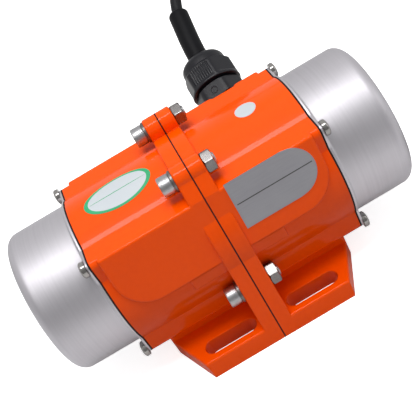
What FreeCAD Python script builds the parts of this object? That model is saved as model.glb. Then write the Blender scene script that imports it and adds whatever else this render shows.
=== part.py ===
"""A small electric vibration motor: a split cast housing on slotted feet, a rotor with eccentric
weights at both ends, two drawn end caps, and a cable that leaves through a gland.

X runs along the shaft towards the gland's half, Z is up, and the feet stand on Z = 0.
The origin is on the mounting plane, under the middle of the shaft.
"""
import FreeCAD, Part
import math
import os

import Sketcher
from FreeCAD import Placement, Rotation, Vector

doc = FreeCAD.newDocument("VibrationMotor")

# Driving sizes in millimetres and degrees, each with what it measures.
SIZES = (
    ("shaft_height", 50.0, "shaft axis above the feet"),
    ("housing_length", 59.0, "joint of the halves to the end of a half"),
    ("barrel_radius", 39.5, "outside of the round barrel"),
    ("ear_half", 33.4, "half the square that the corner ears form"),
    ("ear_corner", 3.5, "rounding of an ear's corner"),
    ("skin_distance", 40.8, "shaft axis to the flat front and rear faces"),
    ("skin_tilt", 13.0, "lean of those faces from upright"),
    ("pad_margin", 3.8, "outer end of a flat pad to the end of the half"),
    ("pad_floor", 1.0, "lower edge of a pad above the shaft axis"),
    ("pad_round", 17.0, "round lower corner of a pad"),
    ("pad_ridge_round", 1.6, "rounding of a pad's upper ridge"),
    ("lug_reach", 25.0, "joint to the end of the lug below a pad"),
    ("lug_floor", 6.0, "lug's lower face below the shaft axis"),
    ("lug_side", 40.3, "lug's lower edge from the middle plane"),
    ("pad_edge", 1.2, "rounding of a pad's rim"),
    ("seam_gasket", 0.6, "thickness of the gasket between the halves"),
    ("flange_thickness", 7.2, "one half's flange"),
    ("flange_band", 42.8, "radius of the flange over the barrel"),
    ("flange_edge", 0.9, "rounding of the flange's rim"),
    ("bolt_ear", 6.0, "round end of a flange ear"),
    ("high_bolt_y", 23.0, "upper flange bolts, sideways"),
    ("high_bolt_z", 42.0, "upper flange bolts above the shaft axis"),
    ("low_bolt_y", 40.2, "lower flange bolts, sideways"),
    ("low_bolt_z", 21.0, "lower flange bolts below the shaft axis"),
    ("bolt_thread", 6.0, "thread of the flange bolts"),
    ("bolt_head", 10.0, "diameter of a bolt's head"),
    ("bolt_head_height", 6.0, "height of a bolt's head"),
    ("bolt_socket", 5.0, "hexagon socket across its flats"),
    ("bolt_clearance", 0.4, "bolt to its hole, on the radius"),
    ("washer_radius", 5.4, "outside of a washer"),
    ("washer_thickness", 1.2, "thickness of a washer"),
    ("nut_width", 10.0, "nut across its flats"),
    ("nut_height", 5.2, "height of a nut"),
    ("thread_proud", 1.4, "bolt's end beyond its nut"),
    ("foot_thickness", 9.0, "height of a foot's slab"),
    ("foot_root", 27.0, "inner side of a foot from the middle"),
    ("foot_reach", 50.2, "foot's length from the joint at its root"),
    ("foot_tip", 39.0, "foot's length from the joint at its outer side"),
    ("foot_edge", 1.4, "rounding of a foot's upper rim"),
    ("arch_half", 19.0, "half the hollow between the feet"),
    ("arch_height", 6.5, "height of that hollow"),
    ("slot_width", 8.6, "width of a mounting slot"),
    ("slot_length", 28.4, "length of a mounting slot"),
    ("slot_x", 22.8, "middle of a slot from the joint"),
    ("slot_y", 43.1, "middle of a slot from the middle plane"),
    ("core_seat", 35.0, "bore that holds the stator core"),
    ("core_half", 21.5, "half the length of the stator and rotor cores"),
    ("chamber_radius", 33.6, "room round the winding heads"),
    ("chamber_end", 43.5, "joint to the bearing wall"),
    ("bearing_lip", 1.5, "bearing wall before the bearing"),
    ("bearing_width", 11.0, "width of the ball bearing"),
    ("bearing_outside", 17.5, "outer radius of the bearing"),
    ("bearing_bore", 7.5, "inner radius of the bearing"),
    ("ball_radius", 3.0, "balls of the bearing"),
    ("race_lip", 2.9, "thickness of a bearing ring"),
    ("seal_bore", 15.4, "opening inside the bearing seat"),
    ("cover_thickness", 2.4, "plate that holds a bearing in its seat"),
    ("cover_radius", 27.0, "outside of that plate"),
    ("weight_room", 35.6, "room round the weights in the housing's end"),
    ("cap_radius", 37.9, "outside of an end cap"),
    ("cap_room", 6.1, "shaft's end to the inside of a cap"),
    ("cap_corner", 6.0, "round shoulder of a cap"),
    ("cap_crown", 400.0, "radius of the cap's slightly domed end"),
    ("cap_sheet", 1.2, "sheet of a cap"),
    ("cap_gasket", 0.8, "gasket under a cap"),
    ("screw_offset", 30.7, "cap screws from the shaft axis, both ways"),
    ("screw_thread", 4.0, "thread of a cap screw"),
    ("screw_head", 8.1, "diameter of a cap screw's head"),
    ("screw_dome", 3.1, "height of a cap screw's head"),
    ("screw_length", 12.0, "cap screw under its head"),
    ("stator_bore", 19.2, "inside of the stator core"),
    ("stator_slots", 12.0, "slots of the stator core"),
    ("stator_slot_depth", 9.0, "radial depth of a stator slot"),
    ("stator_slot_width", 5.6, "width of a stator slot"),
    ("slot_liner", 0.3, "lining between a slot and its copper"),
    ("winding_reach", 14.0, "copper beyond the core"),
    ("winding_inside", 21.5, "inner radius of a winding head"),
    ("winding_outside", 31.5, "outer radius of a winding head"),
    ("air_gap", 0.4, "rotor core to stator core"),
    ("rotor_bars", 10.0, "bars of the rotor cage"),
    ("bar_radius", 1.7, "radius of a cage bar"),
    ("ring_thickness", 4.0, "thickness of a cage end ring"),
    ("shaft_body", 9.0, "shaft's radius in the rotor core"),
    ("shaft_thin", 6.0, "shaft's radius at the weights"),
    ("shaft_tail", 4.1, "retaining ring to the shaft's end"),
    ("fit", 0.04, "running clearance on a radius"),
    ("spacer_length", 6.6, "spacer between the bearing and the fixed weight"),
    ("weight_thickness", 9.6, "thickness of one weight"),
    ("weight_gap", 0.5, "gap between the two weights of an end"),
    ("weight_radius", 32.0, "outside of a weight"),
    ("weight_hub", 10.5, "hub of a weight"),
    ("weight_angle", 76.0, "half the angle that a weight spans"),
    ("key_width", 4.0, "width of the weight's key"),
    ("key_depth", 2.4, "key's depth in the shaft"),
    ("clamp_height", 15.6, "clamp screw's distance from the shaft axis"),
    ("clamp_slit", 1.6, "slit of the clamped hub"),
    ("clamp_thread", 4.0, "thread of the clamp screw"),
    ("clip_play", 0.1, "play of the weights along the shaft"),
    ("clip_thickness", 1.0, "retaining ring on the shaft's end"),
    ("clip_radius", 8.6, "outside of the retaining ring"),
    ("gland_x", 35.0, "gland from the joint"),
    ("gland_rise", 30.0, "gland's direction above level"),
    ("boss_face", 44.5, "seat of the gland from the shaft axis"),
    ("boss_radius", 11.8, "round boss under the gland"),
    ("gland_thread", 10.1, "radius of the gland's thread"),
    ("gland_hex", 24.0, "gland's body across its flats"),
    ("gland_hex_height", 9.1, "height of that hexagon"),
    ("spot_face", 14.2, "radius of the milled seat round the hexagon"),
    ("gland_hex_turn", -13.3, "hexagon's turn about the gland's axis"),
    ("nut_gap", 0.9, "hexagon to the gland's nut"),
    ("nut_hex", 25.2, "gland's nut across its flats"),
    ("nut_grip", 12.6, "height of the nut's hexagon"),
    ("nut_turn", -19.5, "nut's turn about the gland's axis"),
    ("nut_dome", 6.4, "height of the nut's dome"),
    ("nut_round", 4.0, "rounding of the nut's dome"),
    ("nut_play", 0.35, "sleeve to the gland nut's opening"),
    ("thread_short", 3.0, "thread's end below the foot of the dome"),
    ("seal_length", 8.0, "length of the gland's seal"),
    ("seal_wall", 1.6, "thickness of the seal's wall"),
    ("sleeve_radius", 5.45, "outside of the sleeve on the cable"),
    ("sleeve_bend", 80.0, "shaft axis to the sleeve's bend"),
    ("sleeve_free", 26.9, "leaning part of the sleeve"),
    ("cable_radius", 3.2, "outside of the cable"),
    ("core_radius", 1.15, "insulated cores of the cable"),
    ("tie_thickness", 0.8, "band round the coil"),
    ("coil_radius", 35.0, "middle of the coil's turns"),
    ("coil_x", 166.0, "middle of the coil, along the shaft"),
    ("coil_y", 12.0, "middle of the coil, sideways"),
)

sheet = doc.addObject("Spreadsheet::Sheet", "Sizes")
for row, (alias, number, meaning) in enumerate(SIZES, start=1):
    sheet.set(f"A{row}", meaning)
    sheet.set(f"B{row}", str(number))
    sheet.setAlias(f"B{row}", alias)
doc.recompute()


class Size:
    """A number together with the sheet's expression that gives it."""

    def __init__(self, number, text):
        self.number = float(number)
        self.text = text

    def joined(self, other, sign, number):
        return Size(number, f"({self.text} {sign} {size(other).text})")

    def __add__(self, other):
        return self.joined(other, "+", self.number + size(other).number)

    def __sub__(self, other):
        return self.joined(other, "-", self.number - size(other).number)

    def __mul__(self, other):
        return self.joined(other, "*", self.number * size(other).number)

    def __truediv__(self, other):
        return self.joined(other, "/", self.number / size(other).number)

    def __radd__(self, other):
        return size(other) + self

    def __rsub__(self, other):
        return size(other) - self

    def __rmul__(self, other):
        return size(other) * self

    def __neg__(self):
        return Size(-self.number, f"(0 - {self.text})")


def size(thing):
    """A plain number as a Size, and a Size as itself."""
    return thing if isinstance(thing, Size) else Size(thing, repr(float(thing)))


def cell(alias):
    """The sheet's value of that name."""
    return Size(sheet.get(alias), f"Sizes.{alias}")


def cosine(angle):
    return Size(math.cos(math.radians(angle.number)), f"cos({angle.text} * 1 deg)")


def sine(angle):
    return Size(math.sin(math.radians(angle.number)), f"sin({angle.text} * 1 deg)")


def bind(thing, prop, value):
    """Ties a property to the sheet."""
    thing.setExpression(prop, size(value).text)


ALONG_X = Rotation(Vector(0, 0, 1), Vector(1, 0, 0))
UPRIGHT = Rotation()
ALONG_Y = Rotation(Vector(0, 0, 1), Vector(0, 1, 0))

shaft_height = cell("shaft_height")


def place(thing, x, y, z, turn=UPRIGHT):
    """Puts a thing at a place that the sheet gives."""
    thing.Placement = Placement(Vector(size(x).number, size(y).number, size(z).number), turn)
    for axis, value in (("x", x), ("y", y), ("z", z)):
        bind(thing, f"Placement.Base.{axis}", value)
    return thing


def cylinder(name, radius, height, x=0, y=0, z=0, turn=UPRIGHT):
    thing = doc.addObject("Part::Cylinder", name)
    bind(thing, "Radius", radius)
    bind(thing, "Height", height)
    return place(thing, x, y, z, turn)


def box(name, length, width, height, x=0, y=0, z=0):
    thing = doc.addObject("Part::Box", name)
    bind(thing, "Length", length)
    bind(thing, "Width", width)
    bind(thing, "Height", height)
    return place(thing, x, y, z)


def hexagon(name, across_flats, height, x=0, y=0, z=0, turn=UPRIGHT):
    thing = doc.addObject("Part::Prism", name)
    thing.Polygon = 6
    bind(thing, "Circumradius", size(across_flats) / math.sqrt(3))
    bind(thing, "Height", height)
    return place(thing, x, y, z, turn)


def fused(name, *things):
    thing = doc.addObject("Part::MultiFuse", name)
    thing.Shapes = list(things)
    thing.Refine = True
    return thing


def shared(name, *things):
    thing = doc.addObject("Part::MultiCommon", name)
    thing.Shapes = list(things)
    thing.Refine = True
    return thing


def cut(name, base, *tools):
    """The base without the tools; several tools are joined first."""
    tool = tools[0]
    if len(tools) > 1:
        tool = doc.addObject("Part::MultiFuse", name + "_tools")
        tool.Shapes = list(tools)
    thing = doc.addObject("Part::Cut", name)
    thing.Base = base
    thing.Tool = tool
    thing.Refine = True
    return thing


def group(name, *things):
    """Separate solids that share one node."""
    thing = doc.addObject("Part::Compound", name)
    thing.Links = list(things)
    return thing


def mirrored(name, source):
    """The same piece on the other side of the joint."""
    thing = doc.addObject("Part::Mirroring", name)
    thing.Source = source
    thing.Normal = Vector(1, 0, 0)
    thing.Base = Vector(0, 0, 0)
    return thing


def rounded(name, base, radius, wanted):
    """The base with a fillet on every edge that wanted() accepts."""
    doc.recompute()
    thing = doc.addObject("Part::Fillet", name)
    thing.Base = base
    amount = size(radius).number
    edges = [i + 1 for i, edge in enumerate(base.Shape.Edges) if wanted(edge)]
    thing.Edges = [(i, amount, amount) for i in edges]
    return thing


def body(name):
    return doc.addObject("PartDesign::Body", name)


def origin_plane(owner, role):
    return next(p for p in owner.Origin.OriginFeatures if p.Role == role)


def outline(owner, name, role, corners):
    """A closed outline on one of the body's own planes, each corner driven by the sheet."""
    sketch = owner.newObject("Sketcher::SketchObject", name)
    sketch.AttachmentSupport = [(origin_plane(owner, role), "")]
    sketch.MapMode = "FlatFace"
    points = [Vector(size(u).number, size(v).number, 0) for u, v in corners]
    for i, point in enumerate(points):
        sketch.addGeometry(Part.LineSegment(point, points[(i + 1) % len(points)]), False)
    for i, (u, v) in enumerate(corners):
        sketch.addConstraint(Sketcher.Constraint("Coincident", i - 1 if i else len(corners) - 1, 2, i, 1))
        for kind, value in (("DistanceX", u), ("DistanceY", v)):
            at = sketch.addConstraint(Sketcher.Constraint(kind, -1, 1, i, 1, size(value).number))
            sketch.setExpression(f"Constraints[{at}]", size(value).text)
    return sketch


def padded(name, role, corners, length, reverse=False):
    """A body with one outline padded to a length."""
    owner = body(name)
    pad = owner.newObject("PartDesign::Pad", name + "_pad")
    pad.Profile = outline(owner, name + "_outline", role, corners)
    bind(pad, "Length", length)
    pad.Reversed = reverse
    return owner


def turned(name, corners, z=shaft_height):
    """A body turned about the shaft's axis; each corner is (along X, radius)."""
    owner = body(name)
    turn = owner.newObject("PartDesign::Revolution", name + "_turn")
    profile = outline(owner, name + "_profile", "XY_Plane", corners)
    turn.Profile = profile
    turn.ReferenceAxis = (profile, ["H_Axis"])
    turn.Angle = 360
    return place(owner, 0, 0, z)


def is_along(edge, axis):
    """Whether a straight edge runs along an axis."""
    if not isinstance(edge.Curve, (Part.Line, Part.LineSegment)):
        return False
    first, last = edge.Vertexes[0].Point, edge.Vertexes[-1].Point
    return abs((last - first).normalize().dot(axis)) > 0.999


def on_axis(thing, x, y=0, z=0):
    """Turns a thing along the shaft and sets it sideways and upwards from the shaft's axis."""
    return place(thing, x, y, shaft_height + z, ALONG_X)


def skin(z):
    """How far out the flat front and rear faces are at a height above the shaft's axis."""
    tilt = cell("skin_tilt")
    return (cell("skin_distance") - sine(tilt) * z) / cosine(tilt)


def four(thing_at, y, z, low_y=None, low_z=None):
    """The same thing at the four corners: both upper ones, then both lower ones."""
    low_y = y if low_y is None else low_y
    low_z = z if low_z is None else low_z
    spots = ((y, z), (-y, z), (low_y, -low_z), (-low_y, -low_z))
    return [thing_at(i, u, v) for i, (u, v) in enumerate(spots, start=1)]


def at_bolts(thing_at):
    return four(thing_at, cell("high_bolt_y"), cell("high_bolt_z"), cell("low_bolt_y"), cell("low_bolt_z"))


def at_screws(thing_at):
    return four(thing_at, cell("screw_offset"), cell("screw_offset"))


seam = cell("seam_gasket") / 2
flange_face = seam + cell("flange_thickness")
housing_end = cell("housing_length")
pad_end = housing_end - cell("pad_margin")
bearing_start = cell("chamber_end") + cell("bearing_lip")
bearing_end = bearing_start + cell("bearing_width")
weight_start = bearing_end + cell("spacer_length")
second_weight = weight_start + cell("weight_thickness") + cell("weight_gap")
clip_start = second_weight + cell("weight_thickness") + cell("clip_play")
shaft_end = clip_start + cell("clip_thickness") + cell("shaft_tail")
cap_seat = housing_end + cell("cap_gasket")
cap_face = cap_seat + cell("cap_sheet")
cap_end = shaft_end + cell("cap_room") + cell("cap_sheet")
nut_start = cell("boss_face") + cell("gland_hex_height") + cell("nut_gap")
nut_shoulder = nut_start + cell("nut_grip")
nut_top = nut_shoulder + cell("nut_dome")


def end_outline(name, x, length):
    """The barrel's round outline with its four corner ears."""
    half = cell("ear_half")
    square = box(name + "_square", length, half * 2, half * 2, x, -half, shaft_height - half)
    corners = rounded(name + "_corners", square, cell("ear_corner"), lambda e: is_along(e, Vector(1, 0, 0)))
    return fused(name, corners, on_axis(cylinder(name + "_barrel", cell("barrel_radius"), length), x))


def front_pad(name, side):
    """The flat raised pad on the front (side -1) or rear (side 1) of a half."""
    top, low, inside = cell("ear_half"), cell("pad_floor"), cell("barrel_radius") / 2
    corners = (
        (inside * side, low),
        (skin(low) * side, low),
        (skin(top) * side, top),
        (inside * side, top),
    )
    block = padded(name + "_block", "YZ_Plane", corners, pad_end)
    place(block, 0, 0, shaft_height)
    ridge = rounded(name + "_ridge", block, cell("pad_ridge_round"), lambda e: pad_ridge(e, side))
    corner = rounded(name + "_corner", ridge, cell("pad_round"), lambda e: pad_corner(e, side))
    return rounded(name, corner, cell("pad_edge"), lambda e: pad_rim(e, side))


def pad_ridge(edge, side):
    """The pad's upper outer edge."""
    middle = edge.CenterOfMass
    high = (shaft_height + cell("ear_half")).number
    return is_along(edge, Vector(1, 0, 0)) and abs(middle.z - high) < 0.01 and middle.y * side > 30


def pad_corner(edge, side):
    """The pad's lower outer corner, an edge that runs inwards."""
    middle = edge.CenterOfMass
    low = (shaft_height + cell("pad_floor")).number
    far = pad_end.number
    return is_along(edge, Vector(0, 1, 0)) and abs(middle.z - low) < 0.01 and abs(middle.x - far) < 0.01


def pad_rim(edge, side):
    """The edges round the pad's flat face, apart from the joint's and the ridge's."""
    tilt = math.radians(cell("skin_tilt").number)
    reach = cell("skin_distance").number
    for vertex in edge.Vertexes:
        y = vertex.Point.y * side
        z = vertex.Point.z - shaft_height.number
        if abs(y * math.cos(tilt) + z * math.sin(tilt) - reach) > 0.01:
            return False
    middle = edge.CenterOfMass
    ridge = shaft_height.number + (cell("ear_half") - cell("pad_ridge_round") * 1.5).number
    return middle.x > 0.5 and (middle.z < ridge or not is_along(edge, Vector(1, 0, 0)))


def pad_lug(name, side):
    """The lug below a pad, beside the flange, over the lower bolt."""
    low, top, inside = -cell("lug_floor"), cell("pad_floor") + 0.5, cell("barrel_radius") / 2
    corners = (
        (inside * side, low),
        (cell("lug_side") * side, low),
        ((skin(top) - 0.2) * side, top),
        (inside * side, top),
    )
    block = place(padded(name + "_block", "YZ_Plane", corners, cell("lug_reach")), 0, 0, shaft_height)
    far, floor = cell("lug_reach").number, (shaft_height + low).number

    def is_rim(edge):
        middle = edge.CenterOfMass
        at_edge = abs(middle.x - far) < 0.01 or abs(middle.z - floor) < 0.01
        return at_edge and middle.y * side > cell("lug_side").number - 0.01

    return rounded(name, block, 0.9, is_rim)


def flange():
    """One half's flange: ears for the upper bolts, a band over the barrel, flat sides to the feet."""
    ear, y, z = cell("bolt_ear"), cell("high_bolt_y"), cell("high_bolt_z")
    ridge, foot = cell("ear_half"), -shaft_height
    right = (
        (skin(foot), foot),
        (skin(ridge), ridge),
        (y + ear, z),
        (y, z + ear),
        (y - ear, z),
        (y - ear, ridge),
    )
    corners = right + tuple((-u, v) for u, v in reversed(right))
    plate = place(padded("flange_plate", "YZ_Plane", corners, flange_face), 0, 0, shaft_height)
    ears = [on_axis(cylinder(f"flange_ear_{i}", ear, flange_face), 0, y * s, z) for i, s in ((1, 1), (2, -1))]
    band = on_axis(cylinder("flange_over_barrel", cell("flange_band"), flange_face), 0)
    whole = fused("flange_blank", plate, band, *ears)
    face = flange_face.number
    return rounded(
        "flange",
        whole,
        cell("flange_edge"),
        lambda e: all(abs(v.Point.x - face) < 0.01 for v in e.Vertexes) and e.CenterOfMass.z > 0.5,
    )


def foot(name, side):
    """A slab with a tapered end; its outer side carries on the flat face above it."""
    root, low, high = cell("foot_root"), -shaft_height, cell("foot_thickness") - shaft_height
    section = ((root * side, low), (skin(low) * side, low), (skin(high) * side, high), (root * side, high))
    slab = padded(name + "_slab", "YZ_Plane", section, cell("foot_reach"))
    place(slab, 0, 0, shaft_height)
    wide = skin(low)
    plan = (
        (0, root * side),
        (cell("foot_reach"), root * side),
        (cell("foot_tip"), wide * side),
        (0, wide * side),
    )
    footprint = padded(name + "_plan", "XY_Plane", plan, cell("foot_thickness"))
    blank = shared(name + "_blank", slab, footprint)
    top = cell("foot_thickness").number
    near = cell("foot_root").number

    def is_rim(edge):
        high_edge = all(abs(v.Point.z - top) < 0.01 for v in edge.Vertexes)
        middle = edge.CenterOfMass
        return high_edge and abs(middle.y) > near + 0.5 and middle.x > 0.5

    return rounded(name, blank, cell("foot_edge"), is_rim)


def slot(name, side):
    """A mounting slot's cutter, along X with round ends."""
    radius = cell("slot_width") / 2
    run = cell("slot_length") - cell("slot_width")
    x, y, high = cell("slot_x"), cell("slot_y") * side, cell("foot_thickness") * 2
    middle = box(name + "_run", run, radius * 2, high, x - run / 2, y - radius, -high / 4)
    ends = [
        cylinder(f"{name}_end_{i}", radius, high, x + run / 2 * s, y, -high / 4)
        for i, s in ((1, -1), (2, 1))
    ]
    return fused(name, middle, *ends)


def hollow():
    """The room inside one half: core seat, winding room, seal, bearing seat and weight room."""
    corners = (
        (0, 0),
        (0, cell("core_seat")),
        (cell("core_half"), cell("core_seat")),
        (cell("core_half"), cell("chamber_radius")),
        (cell("chamber_end"), cell("chamber_radius")),
        (cell("chamber_end"), cell("seal_bore")),
        (bearing_start, cell("seal_bore")),
        (bearing_start, cell("bearing_outside")),
        (bearing_end, cell("bearing_outside")),
        (bearing_end, cell("weight_room")),
        (housing_end, cell("weight_room")),
        (housing_end, 0),
    )
    return turned("half_hollow", corners)


def half_housing():
    """One half of the housing without the gland's boss."""
    barrel = end_outline("half_barrel", 0, housing_end)
    root, reach = cell("foot_root"), cell("foot_reach")
    pedestal = box("half_pedestal", reach, root * 2, shaft_height - root, 0, -root, 0)
    solids = fused(
        "half_solids",
        barrel,
        flange(),
        pedestal,
        front_pad("front_pad", -1),
        front_pad("rear_pad", 1),
        pad_lug("front_lug", -1),
        pad_lug("rear_lug", 1),
        foot("front_foot", -1),
        foot("rear_foot", 1),
    )
    arch = cell("arch_half")
    bolt_hole = cell("bolt_thread") / 2 + cell("bolt_clearance")
    deep = cell("screw_length") + 2
    cutters = [
        hollow(),
        box("half_arch", reach + 2, arch * 2, cell("arch_height"), -1, -arch, 0),
        box("half_seam", seam, shaft_height * 4, shaft_height * 3, 0, -shaft_height * 2, -1),
        slot("front_slot", -1),
        slot("rear_slot", 1),
    ]
    cutters += at_bolts(
        lambda i, y, z: on_axis(cylinder(f"bolt_hole_{i}", bolt_hole, flange_face + 1), 0, y, z)
    )
    cutters += at_screws(
        lambda i, y, z: on_axis(
            cylinder(f"screw_hole_{i}", cell("screw_thread") / 2 + cell("fit"), deep), cap_face - deep, y, z
        )
    )
    return cut("half_housing", solids, *cutters)


def on_gland(thing, distance):
    """Sets a thing on the gland's axis, at a distance from the shaft's axis."""
    rise = cell("gland_rise")
    turn = Rotation(Vector(-1, 0, 0), 90 - rise.number)
    place(thing, cell("gland_x"), cosine(rise) * distance, shaft_height + sine(rise) * distance, turn)
    thing.setExpression("Placement.Rotation.Angle", f"90 deg - {rise.text} * 1 deg")
    return thing


def housings(half):
    wall = cell("chamber_radius")
    boss = on_gland(cylinder("gland_boss", cell("boss_radius"), cell("boss_face") - wall - 2), wall + 2)
    whole = fused("right_solids", half, boss)
    thread = cell("gland_thread") + cell("fit")
    bore = on_gland(cylinder("gland_bore", thread, cell("boss_face") / 2), wall - 3)
    seat = on_gland(cylinder("gland_seat", cell("spot_face"), cell("gland_hex_height")), cell("boss_face"))
    return {
        "housing_right": cut("right_half", whole, bore, seat),
        "housing_left": mirrored("left_half", half),
    }


def seam_sealing(half):
    """The gasket between the halves, with the flange's outline."""
    blank = end_outline("seam_barrel", 0, seam * 2)
    keep = box("seam_keep", seam * 2, shaft_height * 4, shaft_height * 3, 0, -shaft_height * 2, -1)
    outline_of = fused("seam_outline", blank, doc.getObject("flange_blank"))
    sheet_of = shared("seam_sheet", outline_of, keep)
    bore = on_axis(cylinder("seam_bore", cell("core_seat"), seam * 3), 0)
    arch = cell("arch_half")
    below = box("seam_arch", seam * 3, arch * 2, cell("arch_height"), 0, -arch, 0)
    hole = cell("bolt_thread") / 2 + cell("bolt_clearance")
    holes = at_bolts(lambda i, y, z: on_axis(cylinder(f"seam_hole_{i}", hole, seam * 3), 0, y, z))
    gasket = place(cut("seam_gasket_plate", sheet_of, bore, below, *holes), -seam, 0, 0)
    return {"housing_gasket": gasket}


def dome(name, less):
    """A cap's drawn bowl, or its inside when less is the sheet's thickness."""
    radius, end = cell("cap_radius") - less, cap_end - less
    wall = on_axis(cylinder(name + "_wall", radius, end - cap_seat), cap_seat)
    ball = doc.addObject("Part::Sphere", name + "_crown")
    crown = cell("cap_crown") - less
    bind(ball, "Radius", crown)
    on_axis(ball, end - crown)
    blank = shared(name + "_blank", wall, ball)
    far = (cap_face + 5).number
    return rounded(name, blank, cell("cap_corner") - less, lambda e: e.CenterOfMass.x > far and e.Closed)


def end_cap():
    """The right cap, its gasket and its four screws."""
    plate = end_outline("cap_flange", cap_seat, cell("cap_sheet"))
    bowl = fused("cap_bowl", plate, dome("cap_outside", 0))
    hole = cell("screw_thread") / 2 + 0.25
    holes = at_screws(lambda i, y, z: on_axis(cylinder(f"cap_hole_{i}", hole, 4), cap_seat - 1, y, z))
    shell = cut("cap_right", bowl, dome("cap_inside", cell("cap_sheet")), *holes)
    pad = end_outline("cap_gasket_sheet", housing_end, cell("cap_gasket"))
    room = on_axis(cylinder("cap_gasket_room", cell("weight_room"), 3), housing_end - 1)
    more = at_screws(
        lambda i, y, z: on_axis(cylinder(f"cap_gasket_hole_{i}", hole, 3), housing_end - 1, y, z)
    )
    gasket = cut("cap_gasket_plate", pad, room, *more)
    screws = group("cap_screw_set", *at_screws(cap_screw))
    return {
        "end_cap_right": shell,
        "end_cap_left": mirrored("cap_left", shell),
        "cap_gasket_right": gasket,
        "cap_gasket_left": mirrored("cap_gasket_mirror", gasket),
        "cap_screws_right": screws,
        "cap_screws_left": mirrored("cap_screw_mirror", screws),
    }


def cap_screw(i, y, z):
    head = cell("screw_head") / 2
    blank = on_axis(cylinder(f"screw_head_{i}", head, cell("screw_dome")), cap_face, y, z)
    top = (cap_face + cell("screw_dome")).number
    domed = rounded(
        f"screw_dome_{i}", blank, head * 0.45, lambda e: e.Closed and abs(e.CenterOfMass.x - top) < 0.01
    )
    length = cell("screw_length")
    shank = on_axis(cylinder(f"screw_shank_{i}", cell("screw_thread") / 2, length), cap_face - length, y, z)
    return fused(f"cap_screw_{i}", domed, shank)


def flange_hardware():
    """Four bolts with their heads on the left, washers under the heads, and nuts on the right."""
    head, high, washer = cell("bolt_head") / 2, cell("bolt_head_height"), cell("washer_thickness")
    under = -flange_face - washer
    radius = cell("bolt_thread") / 2
    reach = flange_face + cell("nut_height") + cell("thread_proud")

    def bolt(i, y, z):
        knob = on_axis(cylinder(f"bolt_head_{i}", head, high), under - high, y, z)
        shank = on_axis(cylinder(f"bolt_shank_{i}", radius, reach - under), under, y, z)
        drive = hexagon(f"bolt_socket_{i}", cell("bolt_socket"), high / 2 + 1)
        socket = on_axis(drive, under - high - 1, y, z)
        return cut(f"bolt_{i}", fused(f"bolt_blank_{i}", knob, shank), socket)

    def ring(i, y, z):
        plate = on_axis(cylinder(f"washer_plate_{i}", cell("washer_radius"), washer), under, y, z)
        hole = on_axis(cylinder(f"washer_hole_{i}", radius + cell("bolt_clearance"), washer), under, y, z)
        return cut(f"washer_{i}", plate, hole)

    def nut(i, y, z):
        prism = on_axis(hexagon(f"nut_prism_{i}", cell("nut_width"), cell("nut_height")), flange_face, y, z)
        hole = on_axis(cylinder(f"nut_hole_{i}", radius + cell("fit"), cell("nut_height")), flange_face, y, z)
        return cut(f"nut_{i}", prism, hole)

    return {
        "flange_bolts": group("bolt_set", *at_bolts(bolt)),
        "flange_washers": group("washer_set", *at_bolts(ring)),
        "flange_nuts": group("nut_set", *at_bolts(nut)),
    }


def ringed(owner, feature, count):
    """Repeats a feature of a body round the shaft's axis."""
    pattern = owner.newObject("PartDesign::PolarPattern", feature.Name + "_ring")
    pattern.Originals = [feature]
    pattern.Axis = (origin_plane(owner, "X_Axis"), [""])
    pattern.Angle = 360
    bind(pattern, "Occurrences", count)
    owner.Tip = pattern
    return owner


def pocketed(owner, name, corners, half):
    """A pocket along the shaft, to both sides of the joint."""
    pocket = owner.newObject("PartDesign::Pocket", name)
    pocket.Profile = outline(owner, name + "_outline", "YZ_Plane", corners)
    pocket.Midplane = True
    bind(pocket, "Length", half * 2)
    return pocket


def stator():
    """Laminated core with open slots, and the copper in and beyond them."""
    half, bore = cell("core_half"), cell("stator_bore")
    outside = cell("core_seat") - cell("fit")
    core = turned("stator_body", ((-half, bore), (half, bore), (half, outside), (-half, outside)))
    wide, deep = cell("stator_slot_width") / 2, bore + cell("stator_slot_depth")
    slot_of = ((-wide, bore - 1), (wide, bore - 1), (wide, deep), (-wide, deep))
    doc.recompute()
    ringed(core, pocketed(core, "stator_slot", slot_of, half), cell("stator_slots"))
    near, far = cell("winding_inside"), cell("winding_outside")
    end = half + cell("winding_reach")
    copper = turned("stator_copper", ((half, near), (end, near), (end, far), (half, far)))
    thin, gap = wide - cell("slot_liner"), cell("slot_liner")
    low, high = near + gap * 2, deep - gap
    side = ((-thin, low), (thin, low), (thin, high), (-thin, high))
    pad = copper.newObject("PartDesign::Pad", "slot_side")
    pad.Profile = outline(copper, "slot_side_outline", "YZ_Plane", side)
    pad.Midplane = True
    bind(pad, "Length", half * 2)
    doc.recompute()
    ringed(copper, pad, cell("stator_slots"))
    other = copper.newObject("PartDesign::Revolution", "other_head")
    corners = ((-half, near), (-end, near), (-end, far), (-half, far))
    profile = outline(copper, "other_head_profile", "XY_Plane", corners)
    other.Profile = profile
    other.ReferenceAxis = (profile, ["H_Axis"])
    other.Angle = 360
    return {"stator_core": core, "stator_windings": copper}


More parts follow.
